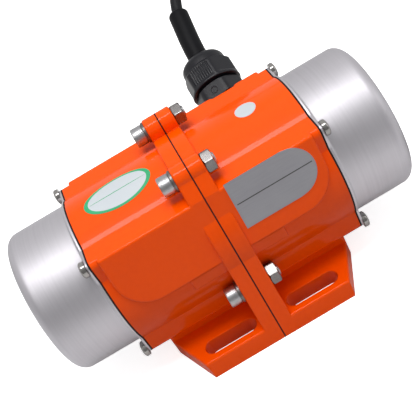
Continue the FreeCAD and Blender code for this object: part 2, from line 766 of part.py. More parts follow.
def rotor():
    """Laminated rotor core with its cast cage of bars and end rings."""
    half, inside = cell("core_half"), cell("shaft_body")
    outside = cell("stator_bore") - cell("air_gap")
    blank = turned("rotor_blank", ((-half, inside), (half, inside), (half, outside), (-half, outside)))
    pitch = outside - cell("bar_radius") * 1.6
    count = int(cell("rotor_bars").number)
    holes, bars = [], []
    for i in range(count):
        angle = Size(360 * i / count, f"(360 * {i} / {count})")
        y, z = cosine(angle) * pitch, sine(angle) * pitch
        name = f"{i + 1}"
        holes.append(on_axis(cylinder("bar_hole_" + name, cell("bar_radius"), half * 2), -half, y, z))
        bar = cylinder("bar_" + name, cell("bar_radius") - cell("fit"), half * 2 + 2)
        bars.append(on_axis(bar, -half - 1, y, z))
    low, thick = pitch - cell("bar_radius") * 2, cell("ring_thickness")
    rings = []
    for i, side in ((1, 1), (2, -1)):
        near, far = half * side, (half + thick) * side
        rings.append(turned(f"cage_ring_{i}", ((near, low), (far, low), (far, outside), (near, outside))))
    return {"rotor_core": cut("rotor_laminations", blank, *holes), "rotor_cage": fused("cage", *rings, *bars)}


def shaft_and_rings():
    """The stepped shaft with its keyways and grooves, keys, spacers and retaining rings."""
    end, thin, mid = shaft_end, cell("shaft_thin"), cell("bearing_bore")
    step, seat, stack, clip = cell("chamber_end") - 6, bearing_start, bearing_end, clip_start
    thick, groove = cell("clip_thickness"), thin - 0.5
    chamfer = 0.8
    half = (
        (0, cell("shaft_body")),
        (step, cell("shaft_body")),
        (step, mid + 0.7),
        (seat, mid + 0.7),
        (seat, mid),
        (stack, mid),
        (stack, thin),
        (clip, thin),
        (clip, groove),
        (clip + thick + cell("fit"), groove),
        (clip + thick + cell("fit"), thin),
        (end - chamfer, thin),
        (end, thin - chamfer),
        (end, 0),
    )
    corners = tuple((-x, r) for x, r in reversed(half[1:])) + half[1:]
    blank = turned("shaft_blank", corners)
    wide, deep = cell("key_width"), cell("key_depth")
    start, long = weight_start, cell("weight_thickness")
    floor = shaft_height + thin - deep
    ways, keys = [], []
    for side, x in (("right", start), ("left", -start - long)):
        ways.append(box(f"keyway_{side}", long, wide, deep * 2, x, -wide / 2, floor))
        keys.append(box(f"key_{side}", long, wide, deep * 1.7, x, -wide / 2, floor))
    rim = thin + cell("fit") - 0.5
    groove = cell("clip_radius")
    ring_of = ((clip, rim), (clip + thick, rim), (clip + thick, groove), (clip, groove))
    clip_blank = turned("clip_blank", ring_of)
    mouth = box("clip_mouth", thick * 3, thin * 1.4, thin * 3, clip - thick, -thin * 0.7, shaft_height)
    ring = cut("clip_right", clip_blank, mouth)
    sleeve = turned("spacer_right", ((stack, thin), (start, thin), (start, thin + 3), (stack, thin + 3)))
    return {
        "shaft": cut("shaft_keyed", blank, *ways),
        "weight_keys": group("key_pair", *keys),
        "retaining_rings": group("clip_pair", ring, mirrored("clip_left", ring)),
        "weight_spacers": group("spacer_pair", sleeve, mirrored("spacer_left", sleeve)),
    }


def bearing():
    """A deep-groove ball bearing and the plate that holds it in the right half."""
    start, wide, bore = bearing_start, cell("bearing_width"), cell("bearing_bore")
    outside, lip, ball = cell("bearing_outside"), cell("race_lip"), cell("ball_radius")
    pitch = (bore + outside) / 2
    track = doc.addObject("Part::Torus", "ball_track")
    bind(track, "Radius1", pitch)
    bind(track, "Radius2", ball + cell("fit"))
    on_axis(track, start + wide / 2)
    end = bearing_end
    inner = turned("inner_blank", ((start, bore), (end, bore), (end, bore + lip), (start, bore + lip)))
    ring_of = ((start, outside - lip), (end, outside - lip), (end, outside), (start, outside))
    outer = turned("outer_blank", ring_of)
    balls = []
    for i in range(8):
        angle = Size(45 * i, f"(45 * {i})")
        one = doc.addObject("Part::Sphere", f"ball_{i + 1}")
        bind(one, "Radius", ball)
        balls.append(on_axis(one, start + wide / 2, cosine(angle) * pitch, sine(angle) * pitch))
    thick, reach = cell("cover_thickness"), cell("cover_radius")
    low = bore + lip + 0.8
    cover = turned("cover_blank", ((end, low), (end + thick, low), (end + thick, reach), (end, reach)))
    return {
        "bearing_inner_right": cut("inner_race", inner, track),
        "bearing_outer_right": cut("outer_race", outer, track),
        "bearing_balls_right": group("ball_set", *balls),
        "bearing_cover_right": cover,
    }


def weight(name, start, is_clamped):
    """An eccentric disc: a hub with a heavy sector that hangs down, keyed or clamped on the shaft."""
    long, radius, hub = cell("weight_thickness"), cell("weight_radius"), cell("weight_hub")
    span, far = cell("weight_angle"), cell("weight_radius") * 3
    fan = (
        (0, 0),
        (sine(span) * far, -cosine(span) * far),
        (far, -far),
        (-far, -far),
        (-sine(span) * far, -cosine(span) * far),
    )
    wedge = place(padded(name + "_wedge", "YZ_Plane", fan, long), start, 0, shaft_height)
    disc = on_axis(cylinder(name + "_disc", radius, long), start)
    sector = shared(name + "_sector", wedge, disc)
    neck = on_axis(cylinder(name + "_hub", hub, long), start)
    bore = on_axis(cylinder(name + "_bore", cell("shaft_thin") + cell("fit"), long), start)
    if not is_clamped:
        wide, high = cell("key_width"), cell("shaft_thin") + cell("key_depth") * 0.75
        way = box(name + "_way", long, wide, high, start, -wide / 2, shaft_height)
        return cut(name, fused(name + "_solid", sector, neck), bore, way)
    lug_high, lug_wide = cell("clamp_height") + 4, hub * 0.9
    lug = box(name + "_lug", long, lug_wide * 2, lug_high, start, -lug_wide, shaft_height)
    gap = cell("clamp_slit")
    slit = box(name + "_slit", long, gap, lug_high + 1, start, -gap / 2, shaft_height)
    hole = cylinder(name + "_screw_hole", cell("clamp_thread") / 2 + cell("fit"), lug_wide * 2)
    place(hole, start + long / 2, -lug_wide, shaft_height + cell("clamp_height"), ALONG_Y)
    return cut(name, fused(name + "_solid", sector, neck, lug), bore, slit, hole)


def weights():
    """The fixed and the adjustable weight of the right end, and the adjustable one's clamp screw."""
    outer = second_weight
    fixed = weight("fixed_weight", weight_start, False)
    clamped = weight("clamped_weight", outer, True)
    wide = cell("weight_hub") * 0.9
    middle, high = outer + cell("weight_thickness") / 2, shaft_height + cell("clamp_height")
    thread = cell("clamp_thread")
    shank = place(cylinder("clamp_shank", thread / 2, wide * 2), middle, -wide, high, ALONG_Y)
    head = place(cylinder("clamp_head", thread * 0.85, thread), middle, -wide - thread, high, ALONG_Y)
    screw = fused("clamp_screw", shank, head)
    return {"inner_weight_right": fixed, "outer_weight_right": clamped, "weight_clamp_screw_right": screw}


def six_sided(name, across_flats, height, distance, spin):
    """A hexagon with blunted corners on the gland's axis, turned about that axis."""
    prism = hexagon(name + "_prism", across_flats, height)
    prism.Placement.Rotation = Rotation(Vector(0, 0, 1), spin.number)
    prism.setExpression("Placement.Rotation.Angle", f"{spin.text} * 1 deg")
    blunt = cylinder(name + "_blunt", across_flats * 0.553, height)
    return on_gland(shared(name, prism, blunt), distance)


def gland():
    """The cable gland: threaded body, ribbed nut with a domed end, and the seal inside."""
    thread, tight, sleeve = cell("gland_thread"), cell("fit"), cell("sleeve_radius")
    flats = six_sided(
        "gland_flats", cell("gland_hex"), cell("gland_hex_height"), cell("boss_face"), cell("gland_hex_turn")
    )
    low, high = cell("chamber_radius") + 0.5, nut_shoulder - cell("thread_short")
    stem = on_gland(cylinder("gland_stem", thread, high - low), low)
    inside = on_gland(cylinder("gland_inside", sleeve + cell("seal_wall"), nut_top * 2), 0)
    grip = six_sided("nut_flats", cell("nut_hex"), cell("nut_grip"), nut_start, cell("nut_turn"))
    crown = on_gland(cylinder("nut_crown", cell("nut_hex") / 2 - 0.5, cell("nut_dome")), nut_shoulder)
    domed = rounded("nut_domed", crown, cell("nut_round"), lambda e: is_far_rim(e, nut_top))
    room = on_gland(cylinder("nut_room", thread + tight, high - nut_start), nut_start)
    through = on_gland(cylinder("nut_through", sleeve + cell("nut_play"), nut_top * 2), 0)
    seal_low = high - cell("seal_length")
    rubber = cylinder("seal_rubber", sleeve + cell("seal_wall") - tight, cell("seal_length"))
    seal_bore = on_gland(cylinder("seal_rubber_bore", sleeve + tight, nut_top * 2), 0)
    return {
        "gland_body": cut("gland_base", fused("gland_solid", flats, stem), inside),
        "gland_nut": cut("gland_cap", fused("nut_solid", grip, domed), room, through),
        "gland_seal": cut("seal_ring", on_gland(rubber, seal_low), seal_bore),
    }


def is_far_rim(edge, distance):
    """Whether a round edge lies at a distance from the shaft's axis along the gland."""
    rise = math.radians(cell("gland_rise").number)
    middle = edge.CenterOfMass
    along = middle.y * math.cos(rise) + (middle.z - shaft_height.number) * math.sin(rise)
    return edge.Closed and abs(along - distance.number) < 0.01


def gland_point(distance):
    """A point on the gland's axis."""
    rise = math.radians(cell("gland_rise").number)
    up = shaft_height.number + distance * math.sin(rise)
    return Vector(cell("gland_x").number, distance * math.cos(rise), up)


def cable_path(points, name):
    """Straight runs joined by tangent arcs, as one wire. Prints each arc's radius."""
    edges, here = [], points[0]
    radii = []
    for before, corner, after in zip(points, points[1:], points[2:]):
        back, ahead = (before - corner), (after - corner)
        reach = 0.45 * min(back.Length, ahead.Length)
        turn = math.pi - back.getAngle(ahead)
        radius = reach / math.tan(turn / 2)
        start, end = corner + back.normalize() * reach, corner + ahead.normalize() * reach
        inward = (back + ahead).normalize()
        middle = corner + inward * (radius / math.cos(turn / 2) - radius)
        edges += [Part.LineSegment(here, start).toShape(), Part.Arc(start, middle, end).toShape()]
        radii.append(round(radius, 1))
        here = end
    edges.append(Part.LineSegment(here, points[-1]).toShape())
    path = Part.Wire(edges)
    print(name, "arc radii in mm:", radii, "path length:", round(path.Length, 1))
    return path


def tube_along(name, points, radius):
    """A round tube along a path, as a computed shape."""
    path = cable_path(points, name)
    start = points[0]
    direction = (points[1] - start).normalize()
    ring = Part.Wire([Part.makeCircle(radius, start, direction)])
    shape = path.makePipeShell([ring], True, False)
    thing = doc.addObject("Part::Feature", name)
    thing.Shape = shape
    wanted = math.pi * radius**2 * path.Length
    print(name, "volume over section times length:", round(shape.Volume / wanted, 5))
    return thing


def cable():
    """The sleeve, the cable to its coil on the floor, the coil, and the stripped end beside it."""
    radius = cell("cable_radius").number
    x, y, ring = cell("coil_x").number, cell("coil_y").number, cell("coil_radius").number
    floor = cell("tie_thickness").number
    low, side = floor + radius, x + ring + radius * 2
    bend = gland_point(cell("sleeve_bend").number)
    lean = Vector(3.6, 23.4, 13.5).normalize()
    tube = [gland_point(nut_start.number), bend, bend + lean * cell("sleeve_free").number]
    route = [
        gland_point(60),
        bend,
        bend + lean * 33,
        Vector(68, 125, 128),
        Vector(112, 138, 112),
        Vector(150, 130, 72),
        Vector(182, 108, 34),
        Vector(side - 2, y + 60, 10),
        Vector(side, y + 27, low),
        Vector(side, y, low),
    ]
    outer = ring + radius * 2
    tail = [
        Vector(x + 8, y - outer + 0.8, floor + radius * 3),
        Vector(x - 14, y - outer, 9.0),
        Vector(x - 33.7, y - outer - 3.5, 5.3),
        Vector(x - 50, y - outer - 10.1, radius + 0.2),
    ]
    top = floor + radius * 4
    coil = turned_upright("coil_ring", ring - radius * 3, ring + radius * 3, floor, top, x, y)
    sleeve = tube_along("sleeve_tube", tube, cell("sleeve_radius").number)
    bore = tube_along("sleeve_bore", tube, radius)
    return {
        "cable_sleeve": cut("sleeve", sleeve, bore),
        "power_cable": tube_along("cable_run", route, radius),
        "cable_tail": tube_along("cable_end_run", tail, radius),
        "cable_coil": coil,
        "coil_tie": coil_tie(x - ring, y, radius, top),
        "cable_cores": stripped_cores(tail[-1], (tail[-1] - tail[-2])),
    }


def turned_upright(name, inside, outside, low, high, x, y):
    """A flat ring with rounded edges that lies on the floor."""
    disc = place(cylinder(name + "_disc", outside, high - low), x, y, low)
    eye = place(cylinder(name + "_eye", inside, high - low), x, y, low)
    plain = cut(name + "_plain", disc, eye)
    return rounded(name, plain, 2.5, lambda e: e.Closed and isinstance(e.Curve, Part.Circle))


def coil_tie(x, y, radius, top):
    """The band that holds the coil's turns together, round their section at x and y."""
    thick, half = cell("tie_thickness"), radius * 3
    wide, play, inner_play = 6.0, 0.05, 0.35
    near = x - half - play
    long = half * 2 + play + inner_play
    outside = box("tie_outside", thick * 2 + long, wide, thick + top + play, near - thick, y - wide / 2, 0)
    inside = box("tie_inside", long, wide * 2, top - thick + play, near, y - wide, thick)
    return cut("tie_band", outside, inside)


def stripped_cores(end, run):
    """Three insulated cores that stand out of the cable's end along its last run, with bare tips."""
    across = cell("core_radius")
    spread = across * 1.16
    ahead = Vector(run.x, run.y, 0).normalize()
    aside = Vector(-ahead.y, ahead.x, 0)
    turn = Rotation(Vector(0, 0, 1), ahead)
    cores = []
    for i in range(3):
        angle = Size(120 * i + 90, f"({120 * i + 90})")
        long = 20 + 2 * i
        out, up = cosine(angle) * spread, sine(angle) * spread
        spot = (out * aside.x + end.x, out * aside.y + end.y, up + end.z)
        skin_of = place(cylinder(f"core_{i + 1}", across, long), *spot, turn)
        tip = cylinder(f"core_tip_{i + 1}", across * 0.6, 7)
        place(tip, spot[0] + ahead.x * long, spot[1] + ahead.y * long, spot[2], turn)
        cores.append(fused(f"core_piece_{i + 1}", skin_of, tip))
    return group("core_set", *cores)


def both_ends(pieces):
    """The right-hand pieces with their mirror images under the left-hand names."""
    for name in [n for n in pieces if n.endswith("_right")]:
        left = name.replace("_right", "_left")
        if left not in pieces:
            pieces[left] = mirrored(left + "_image", pieces[name])
    return pieces


def checked(name, thing):
    """Stops when a piece is missing, empty or unsound."""
    shape = thing.Shape
    if shape.isNull() or not shape.isValid() or not shape.Solids:
        raise ValueError(f"{name} has no sound solid")
    if min(solid.Volume for solid in shape.Solids) <= 0:
        raise ValueError(f"{name} has an inside-out solid")


def build():
    """Builds every piece and writes one file for each."""
    half = half_housing()
    pieces = housings(half)
    for group_of in (seam_sealing(half), end_cap(), flange_hardware(), stator(), rotor(), shaft_and_rings()):
        pieces.update(group_of)
    for group_of in (bearing(), weights(), gland(), cable()):
        pieces.update(group_of)
    both_ends(pieces)
    doc.recompute()
    for thing in doc.Objects:
        if {"Invalid", "Error"} & set(thing.State):
            raise ValueError(f"{thing.Name} failed: {thing.State}")
    os.makedirs("parts", exist_ok=True)
    for name, thing in sorted(pieces.items()):
        checked(name, thing)
        thing.Label = name
        thing.Shape.exportStep(os.path.join("parts", name + ".step"))
        print(name, len(thing.Shape.Solids), "solids,", round(thing.Shape.Volume / 1000, 2), "cm3")
    print(len(pieces), "nodes")


build()
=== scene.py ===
"""Dresses the vibration motor: its finishes, fasteners, gland, cable, caps, plate and stickers.

Lengths are in millimetres and become metres where a mesh, a curve, a lamp or the camera is made.
"""

import logging
import math
from dataclasses import dataclass
from enum import Enum

import bmesh
import bpy
import numpy as np
from bpy.types import NodeOutputs, NodeSocket, NodeTree
from mathutils import Matrix, Vector
from numpy.typing import ArrayLike


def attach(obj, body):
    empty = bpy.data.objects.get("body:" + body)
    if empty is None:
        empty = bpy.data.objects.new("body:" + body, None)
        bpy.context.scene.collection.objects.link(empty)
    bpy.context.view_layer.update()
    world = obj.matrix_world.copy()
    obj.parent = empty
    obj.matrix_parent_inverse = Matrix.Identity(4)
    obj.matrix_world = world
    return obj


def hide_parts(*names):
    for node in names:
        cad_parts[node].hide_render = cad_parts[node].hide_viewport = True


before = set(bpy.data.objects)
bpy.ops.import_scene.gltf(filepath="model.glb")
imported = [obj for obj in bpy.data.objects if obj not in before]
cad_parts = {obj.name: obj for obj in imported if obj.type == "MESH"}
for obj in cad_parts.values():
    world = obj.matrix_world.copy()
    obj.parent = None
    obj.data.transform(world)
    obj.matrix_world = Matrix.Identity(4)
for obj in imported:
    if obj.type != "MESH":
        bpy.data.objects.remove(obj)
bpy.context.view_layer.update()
LOG = logging.getLogger("motor")
MM = 0.001
SHAFT = 50.0
Pair = tuple[float, float]
Triple = tuple[float, float, float]


class Side(Enum):
    """The two mirrored halves of the motor."""

    LEFT = -1
    RIGHT = 1

    def node(self, stem: str) -> str:
        """The CAD node's name on this side."""
        return f"{stem}_{self.name.lower()}"


def linear(colour: str) -> tuple[float, float, float, float]:
    """Turns an sRGB colour, six hex digits after a hash mark, to linear light with a full alpha."""
    parts = [int(colour[i : i + 2], 16) / 255 for i in (1, 3, 5)]
    bent = [c / 12.92 if c <= 0.04045 else ((c + 0.055) / 1.055) ** 2.4 for c in parts]
    return (*bent, 1.0)


def add_node(tree: NodeTree, kind: str, sockets: dict | None = None, **settings: str | int) -> NodeOutputs:
    """Adds a shader node.

    Args:
        tree: the node tree.
        kind: the node's type, without its prefix.
        sockets: an input's name or number to its value, or to the output that feeds it.
        settings: what is set on the node itself.

    Returns:
        The new node's outputs.
    """
    node = tree.nodes.new("ShaderNode" + kind)
    for name, value in settings.items():
        setattr(node, name, value)
    for socket, value in (sockets or {}).items():
        if isinstance(value, NodeSocket):
            tree.links.new(value, node.inputs[socket])
        else:
            node.inputs[socket].default_value = value
    return node.outputs


def empty_tree(owner: bpy.types.ID) -> NodeTree:
    """The empty node tree of a material or a world."""
    owner.use_nodes = True
    owner.node_tree.nodes.clear()
    return owner.node_tree


def noise(tree: NodeTree, place: NodeSocket, size: float, detail: float) -> NodeSocket:
    """Noise whose patches are about as large as a size in millimetres."""
    return add_node(tree, "TexNoise", {"Scale": 1000 / size, "Detail": detail, "Vector": place})["Fac"]


def new_object(name: str, data: bpy.types.ID) -> bpy.types.Object:
    """Makes an object and puts it into the scene."""
    made = bpy.data.objects.new(name, data)
    bpy.context.scene.collection.objects.link(made)
    return made


@dataclass(frozen=True)
class Finish:
    """A surface as it was made: two close colours, a grain and its depth, and how glossy it is.

    Grain, depth, patches and edge are in millimetres.
    """

    name: str
    colour: str
    second: str
    roughness: float
    slot: str
    metallic: float = 0.0
    spread: float = 0.05
    grain: float = 1.0
    depth: float = 0.01
    stretch: Triple = (1.0, 1.0, 1.0)
    coat: float = 0.0
    coat_roughness: float = 0.1
    specular: float = 0.5
    patches: float = 18.0
    edge: float = 0.0

    def make(self) -> bpy.types.Material:
        """Builds the material, once. Every piece with this finish shares it."""
        known = bpy.data.materials.get(self.name)
        if known:
            return known
        material = bpy.data.materials.new(self.name)
        tree = empty_tree(material)
        place = add_node(tree, "TexCoord")["Object"]
        grain = self.grain_of(tree, place)
        cloud = noise(tree, place, self.patches, 3.0)
        both = add_node(tree, "Math", {0: grain, 1: cloud}, operation="MULTIPLY")[0]
        amount = add_node(tree, "MapRange", {"From Min": 0.1, "From Max": 0.45, "Value": both})[0]
        tones = {0: amount, 6: linear(self.colour), 7: linear(self.second)}
        colour = self.marked(tree, place, add_node(tree, "Mix", tones, data_type="RGBA")[2])
        low, high = self.roughness - self.spread, self.roughness + self.spread
        rough = add_node(tree, "MapRange", {"To Min": low, "To Max": high, "Value": cloud})[0]
        relief = {"Strength": 1.0, "Distance": self.depth * MM, "Height": grain}
        if self.edge:
            relief["Normal"] = add_node(tree, "Bevel", {"Radius": self.edge * MM}, samples=8)[0]
        bump = add_node(tree, "Bump", relief)[0]
        shader = add_node(tree, "BsdfPrincipled", {
            "Metallic": self.metallic, "Coat Weight": self.coat, "Coat Roughness": self.coat_roughness,
            "Specular IOR Level": self.specular, "Base Color": colour, "Roughness": rough, "Normal": bump})[0]
        add_node(tree, "OutputMaterial", {"Surface": shader})
        return material

    def grain_of(self, tree: NodeTree, place: NodeSocket) -> NodeSocket:
        """The height of the fine grain: noise as coarse as the real one, drawn out along the stretch."""
        drawn = add_node(tree, "Mapping", {"Scale": self.stretch, "Vector": place})[0]
        return noise(tree, drawn, self.grain, 4.0)

    def marked(self, tree: NodeTree, place: NodeSocket, colour: NodeSocket) -> NodeSocket:
        """The colour with this finish's own marks. A plain finish has none."""
        return colour


@dataclass(frozen=True)
class TurnedFinish(Finish):
    """Metal turned or drawn about the shaft: its grain runs in rings round the axis."""

    def grain_of(self, tree: NodeTree, place: NodeSocket) -> NodeSocket:
        """The height of rings: noise read at the distance from the shaft's axis and along it."""
        moved = add_node(tree, "Mapping", {"Location": (0, 0, -SHAFT * MM), "Vector": place})[0]
        apart = add_node(tree, "SeparateXYZ", {0: moved})
        flat = add_node(tree, "CombineXYZ", {1: apart[1], 2: apart[2]})[0]
        reach = add_node(tree, "VectorMath", {0: flat}, operation="LENGTH")["Value"]
        at = add_node(tree, "CombineXYZ", {0: apart[0], 1: reach})[0]
        return noise(tree, at, self.grain, 3.0)


@dataclass(frozen=True)
class StackedFinish(Finish):
    """Stamped sheets stacked along the shaft: dark lines between them."""

    sheet: float = 1.0

    def marked(self, tree: NodeTree, place: NodeSocket, colour: NodeSocket) -> NodeSocket:
        """Darkens the joint between two sheets, with a wave along the shaft."""
        scale = 1000 / self.sheet / 20
        wave = add_node(tree, "TexWave", {"Scale": scale, "Vector": place}, bands_direction="X")["Fac"]
        tones = {"From Min": 0.0, "From Max": 0.3, "To Min": 0.35, "Value": wave}
        line = add_node(tree, "MapRange", tones)[0]
        return add_node(tree, "Mix", {0: 1.0, 6: colour, 7: line}, data_type="RGBA", blend_type="MULTIPLY")[2]


# Polyester powder coat, sprayed dry and baked: a glossy even orange with a faint orange peel of 2 to 3 mm.
POWDER_COAT = Finish("orange_powder_coat", "#F45000", "#EE4B00", 0.26, "powder_coat", spread=0.03, grain=2.4,
                     depth=0.03, coat=0.25, coat_roughness=0.05, specular=0.06, patches=60, edge=0.9)
# Deep-drawn aluminium sheet, washed but not polished: a soft satin grey with faint drawing rings.
DRAWN_ALUMINIUM = TurnedFinish("satin_drawn_aluminium", "#D6D3D8", "#CCC9CE", 0.52, "drawn_aluminium",
                               metallic=1.0, spread=0.08, grain=1.3, depth=0.0016, patches=28)
# Pressed fibre gasket: dull, dark and slightly fibrous where its edge shows.
GASKET_FIBRE = Finish("pressed_gasket_fibre", "#141211", "#1D1B19", 0.85, "gasket_rubber", grain=0.6,
                      depth=0.02, specular=0.2)
# Bright zinc plate on cold-headed steel: silver with a faint blue cast and fine cloudy marks.
ZINC_PLATE = Finish("bright_zinc_plate", "#C6C5C7", "#AEADAF", 0.34, "zinc_steel", metallic=1.0, grain=0.5,
                    depth=0.004, patches=4)
# The same plate on the flange's nuts, but rolled and darker, so that only the facets that face a lamp shine.
DARK_ZINC = Finish("dark_zinc_plate", "#8E8B8A", "#767372", 0.27, "zinc_steel", metallic=1.0, grain=0.4,
                   depth=0.005, patches=3)
# Bright plated pan heads, smoother than the flange's screws, so that their domes show sharp lights and darks.
BRIGHT_ZINC = Finish("polished_zinc_plate", "#B3B0AD", "#9A9794", 0.16, "zinc_steel", metallic=1.0, grain=0.3,
                     depth=0.002)
# Sprung steel washers, zinc plated but duller than the screws.
SPRUNG_STEEL = Finish("plated_spring_steel", "#8C8987", "#74716F", 0.4, "zinc_steel", metallic=1.0, grain=0.4,
                      depth=0.01, patches=4)
# Glass-filled nylon from a spark-eroded mould: black, with a fine even grain that dulls its gloss.
BLACK_NYLON = Finish("moulded_black_nylon", "#101015", "#17171D", 0.3, "black_nylon", grain=0.45, depth=0.01,
                     specular=0.38)
# Soft PVC over the cable's exit: black, smoother than the gland.
SOFT_PVC = Finish("soft_black_pvc", "#07070A", "#0D0D11", 0.42, "black_rubber", grain=1.2, depth=0.015,
                  specular=0.15)
# Rubber-sheathed cable, extruded: black and slightly dusty.
CABLE_SHEATH = Finish("extruded_cable_sheath", "#0B0B0E", "#131317", 0.46, "black_rubber", grain=0.8,
                      depth=0.02, specular=0.25)
# Nylon strap round the coil.
STRAP_NYLON = Finish("strap_nylon", "#1A1A1A", "#242424", 0.45, "tie_nylon", grain=0.5, depth=0.01)
# Enamelled windings, varnished: brown copper with the wires' ridges.
VARNISHED_COPPER = TurnedFinish("varnished_copper_wire", "#A4552A", "#6E3216", 0.4, "copper", metallic=0.6,
                                grain=0.8, depth=0.2, coat=0.4)
# Stamped silicon steel sheets, 0.5 mm thick, drawn at 1 mm so that they show.
LAMINATED_STEEL = StackedFinish("stacked_silicon_steel", "#6D6F72", "#54565A", 0.45, "core_lamination",
                                metallic=0.9, grain=0.5, depth=0.01)
# Die-cast rotor cage: grey, a little grainy.
CAST_CAGE = Finish("die_cast_cage", "#B4B5B6", "#9A9B9D", 0.5, "cage_aluminium", metallic=1.0, grain=0.9,
                   depth=0.03)
# Turned and ground steel, with fine rings.
GROUND_STEEL = TurnedFinish("ground_shaft_steel", "#9B9DA0", "#7E8084", 0.3, "ground_steel", metallic=1.0,
                            grain=0.4, depth=0.006)
# Hardened and lapped bearing steel.
BEARING_STEEL = TurnedFinish("lapped_bearing_steel", "#C4C6C9", "#AEB0B4", 0.14, "bearing_steel",
                             metallic=1.0, grain=0.3, depth=0.002)
# Printed aluminium foil for the plate: grey silver, finely brushed along its length, with a dark ink.
PLATE_FOIL = Finish("brushed_plate_foil", "#9D9CA1", "#959499", 0.42, "drawn_aluminium", metallic=0.15,
                    grain=0.5, depth=0.003, stretch=(0.06, 1.0, 1.0), specular=0.4)
PLATE_INK = Finish("dark_plate_ink", "#3E3B3A", "#484544", 0.5, "gasket_rubber", grain=0.5, depth=0.003)
# Coated paper for the stickers, and the green that is printed on it.
STICKER_WHITE = Finish("coated_white_paper", "#BBC1C5", "#B6BCC2", 0.4, "core_insulation", grain=0.6,
                       depth=0.004)
STICKER_GREEN = Finish("green_printed_paper", "#27A06A", "#219460", 0.42, "core_insulation", grain=0.6,
                       depth=0.004)
# PVC insulation of the cable's three cores, and their bare tips of tinned strands.
CORES = [Finish(f"{name}_core_insulation", colour, second, 0.35, "core_insulation", grain=0.5, depth=0.005)
         for name, colour, second in (("brown", "#6A3A1C", "#5C3218"), ("blue", "#1F4E9C", "#1A4388"),
                                      ("green", "#7A9A2C", "#6C8A26"))]
TINNED_STRANDS = Finish("tinned_copper_strands", "#C2BDB4", "#A8A39A", 0.35, "zinc_steel", metallic=1.0,
                        grain=0.25, depth=0.03, stretch=(0.3, 1.0, 1.0))


@dataclass(frozen=True)
class Axis:
    """A straight axis with two directions across it, in millimetres."""

    origin: Triple
    along: Triple
    across: Triple

    def points(self, distance: ArrayLike, radius: ArrayLike, angle: ArrayLike) -> np.ndarray:
        """Places points by distance along the axis, radius and angle.

        The point is the origin, plus the distance along the axis, plus the radius times the cosine of the
        angle across it and the sine of the angle square to both.

        Args:
            distance: along the axis.
            radius: from the axis.
            angle: about the axis, in radians.

        Returns:
            The points, with one more dimension of size three.
        """
        along, across = np.array(self.along, float), np.array(self.across, float)
        square = np.cross(along, across)
        distance, radius, angle = (a[..., None] for a in np.broadcast_arrays(distance, radius, angle))
        return (np.array(self.origin, float) + distance * along
                + radius * np.cos(angle) * across + radius * np.sin(angle) * square)


@dataclass(frozen=True)
class BentAxis:
    """Two straight runs joined by a tangent arc, in millimetres."""

    start: Triple
    bend: Triple
    end: Triple
    share: float = 0.45

    def parts(self) -> tuple[np.ndarray, np.ndarray, float, float, float, float, float]:
        """The runs' directions and lengths, how much of each the arc takes, its turn and its radius."""
        first, last = np.subtract(self.bend, self.start), np.subtract(self.end, self.bend)
        long, short = float(np.linalg.norm(first)), float(np.linalg.norm(last))
        first, last = first / long, last / short
        reach, turn = self.share * min(long, short), math.acos(float(first @ last))
        return first, last, long, short, reach, turn, reach / math.tan(turn / 2)

    def length(self) -> float:
        """The length of the whole path."""
        long, short, reach, turn, curve = self.parts()[2:]
        return long + short - 2 * reach + curve * turn

    def points(self, distance: ArrayLike, radius: ArrayLike, angle: ArrayLike) -> np.ndarray:
        """Places points by distance along the path, radius and angle, as Axis does.

        Before the arc the path follows the first run. On the arc it moves on by the arc's radius times the
        sine of the angle turned so far, and aside by the radius times one less its cosine. After it the rest
        of the distance goes along the last run. The radius stands square to the path.
        """
        first, last, long, _, reach, turn, curve = self.parts()
        steady = np.cross(first, last) / math.sin(turn)
        inward = np.cross(steady, first)
        distance, radius, angle = (a[..., None] for a in np.broadcast_arrays(distance, radius, angle))
        bent = np.clip((distance - long + reach) / curve, 0, turn)
        place = (np.array(self.start) + np.minimum(distance, long - reach) * first
                 + curve * (np.sin(bent) * first + (1 - np.cos(bent)) * inward)
                 + np.maximum(distance - long + reach - curve * turn, 0) * last)
        ahead = np.cos(bent) * first + np.sin(bent) * inward
        return place + radius * (np.cos(angle) * steady + np.sin(angle) * np.cross(ahead, steady))


def along_shaft(y: float, z: float, side: Side) -> Axis:
    """An axis beside the shaft, from the joint outwards, with z above the feet."""
    return Axis((0.0, y, z), (float(side.value), 0.0, 0.0), (0.0, 0.0, 1.0))


def grid_mesh(name: str, grids: list[np.ndarray], wrap: bool, sharp: float) -> bpy.types.Mesh:
    """Turns grids of points to one mesh: a face between each four neighbours, normals outwards.

    The last column of a grid joins its first, and doubles are merged.

    Args:
        name: the mesh's name.
        grids: each of rows by columns by three, in millimetres.
        wrap: whether the last row of a grid joins its first.
        sharp: edges that turn by more than this many degrees stay sharp.

    Returns:
        The mesh, in metres.
    """
    corners, faces, first = [], [], 0
    for points in grids:
        number = first + np.arange(points.size // 3).reshape(points.shape[:2])
        low, high = (number, np.roll(number, -1, 0)) if wrap else (number[:-1], number[1:])
        quads = (low, np.roll(low, -1, 1), np.roll(high, -1, 1), high)
        faces.append(np.stack(quads, -1).reshape(-1, 4))
        corners.append(points.reshape(-1, 3))
        first += number.size
    mesh = bpy.data.meshes.new(name)
    mesh.from_pydata((np.concatenate(corners) * MM).tolist(), [], np.concatenate(faces).tolist())
    work = bmesh.new()
    work.from_mesh(mesh)
    bmesh.ops.remove_doubles(work, verts=work.verts, dist=1e-7)
    bmesh.ops.dissolve_degenerate(work, edges=work.edges, dist=1e-8)
    bmesh.ops.recalc_face_normals(work, faces=work.faces)
    work.to_mesh(mesh)
    work.free()
    mesh.shade_smooth()
    mesh.set_sharp_from_angle(angle=math.radians(sharp))
    return mesh


def ring(count: int) -> np.ndarray:
    """Angles evenly spaced round a circle."""
    return np.linspace(0, 2 * math.pi, count, endpoint=False)


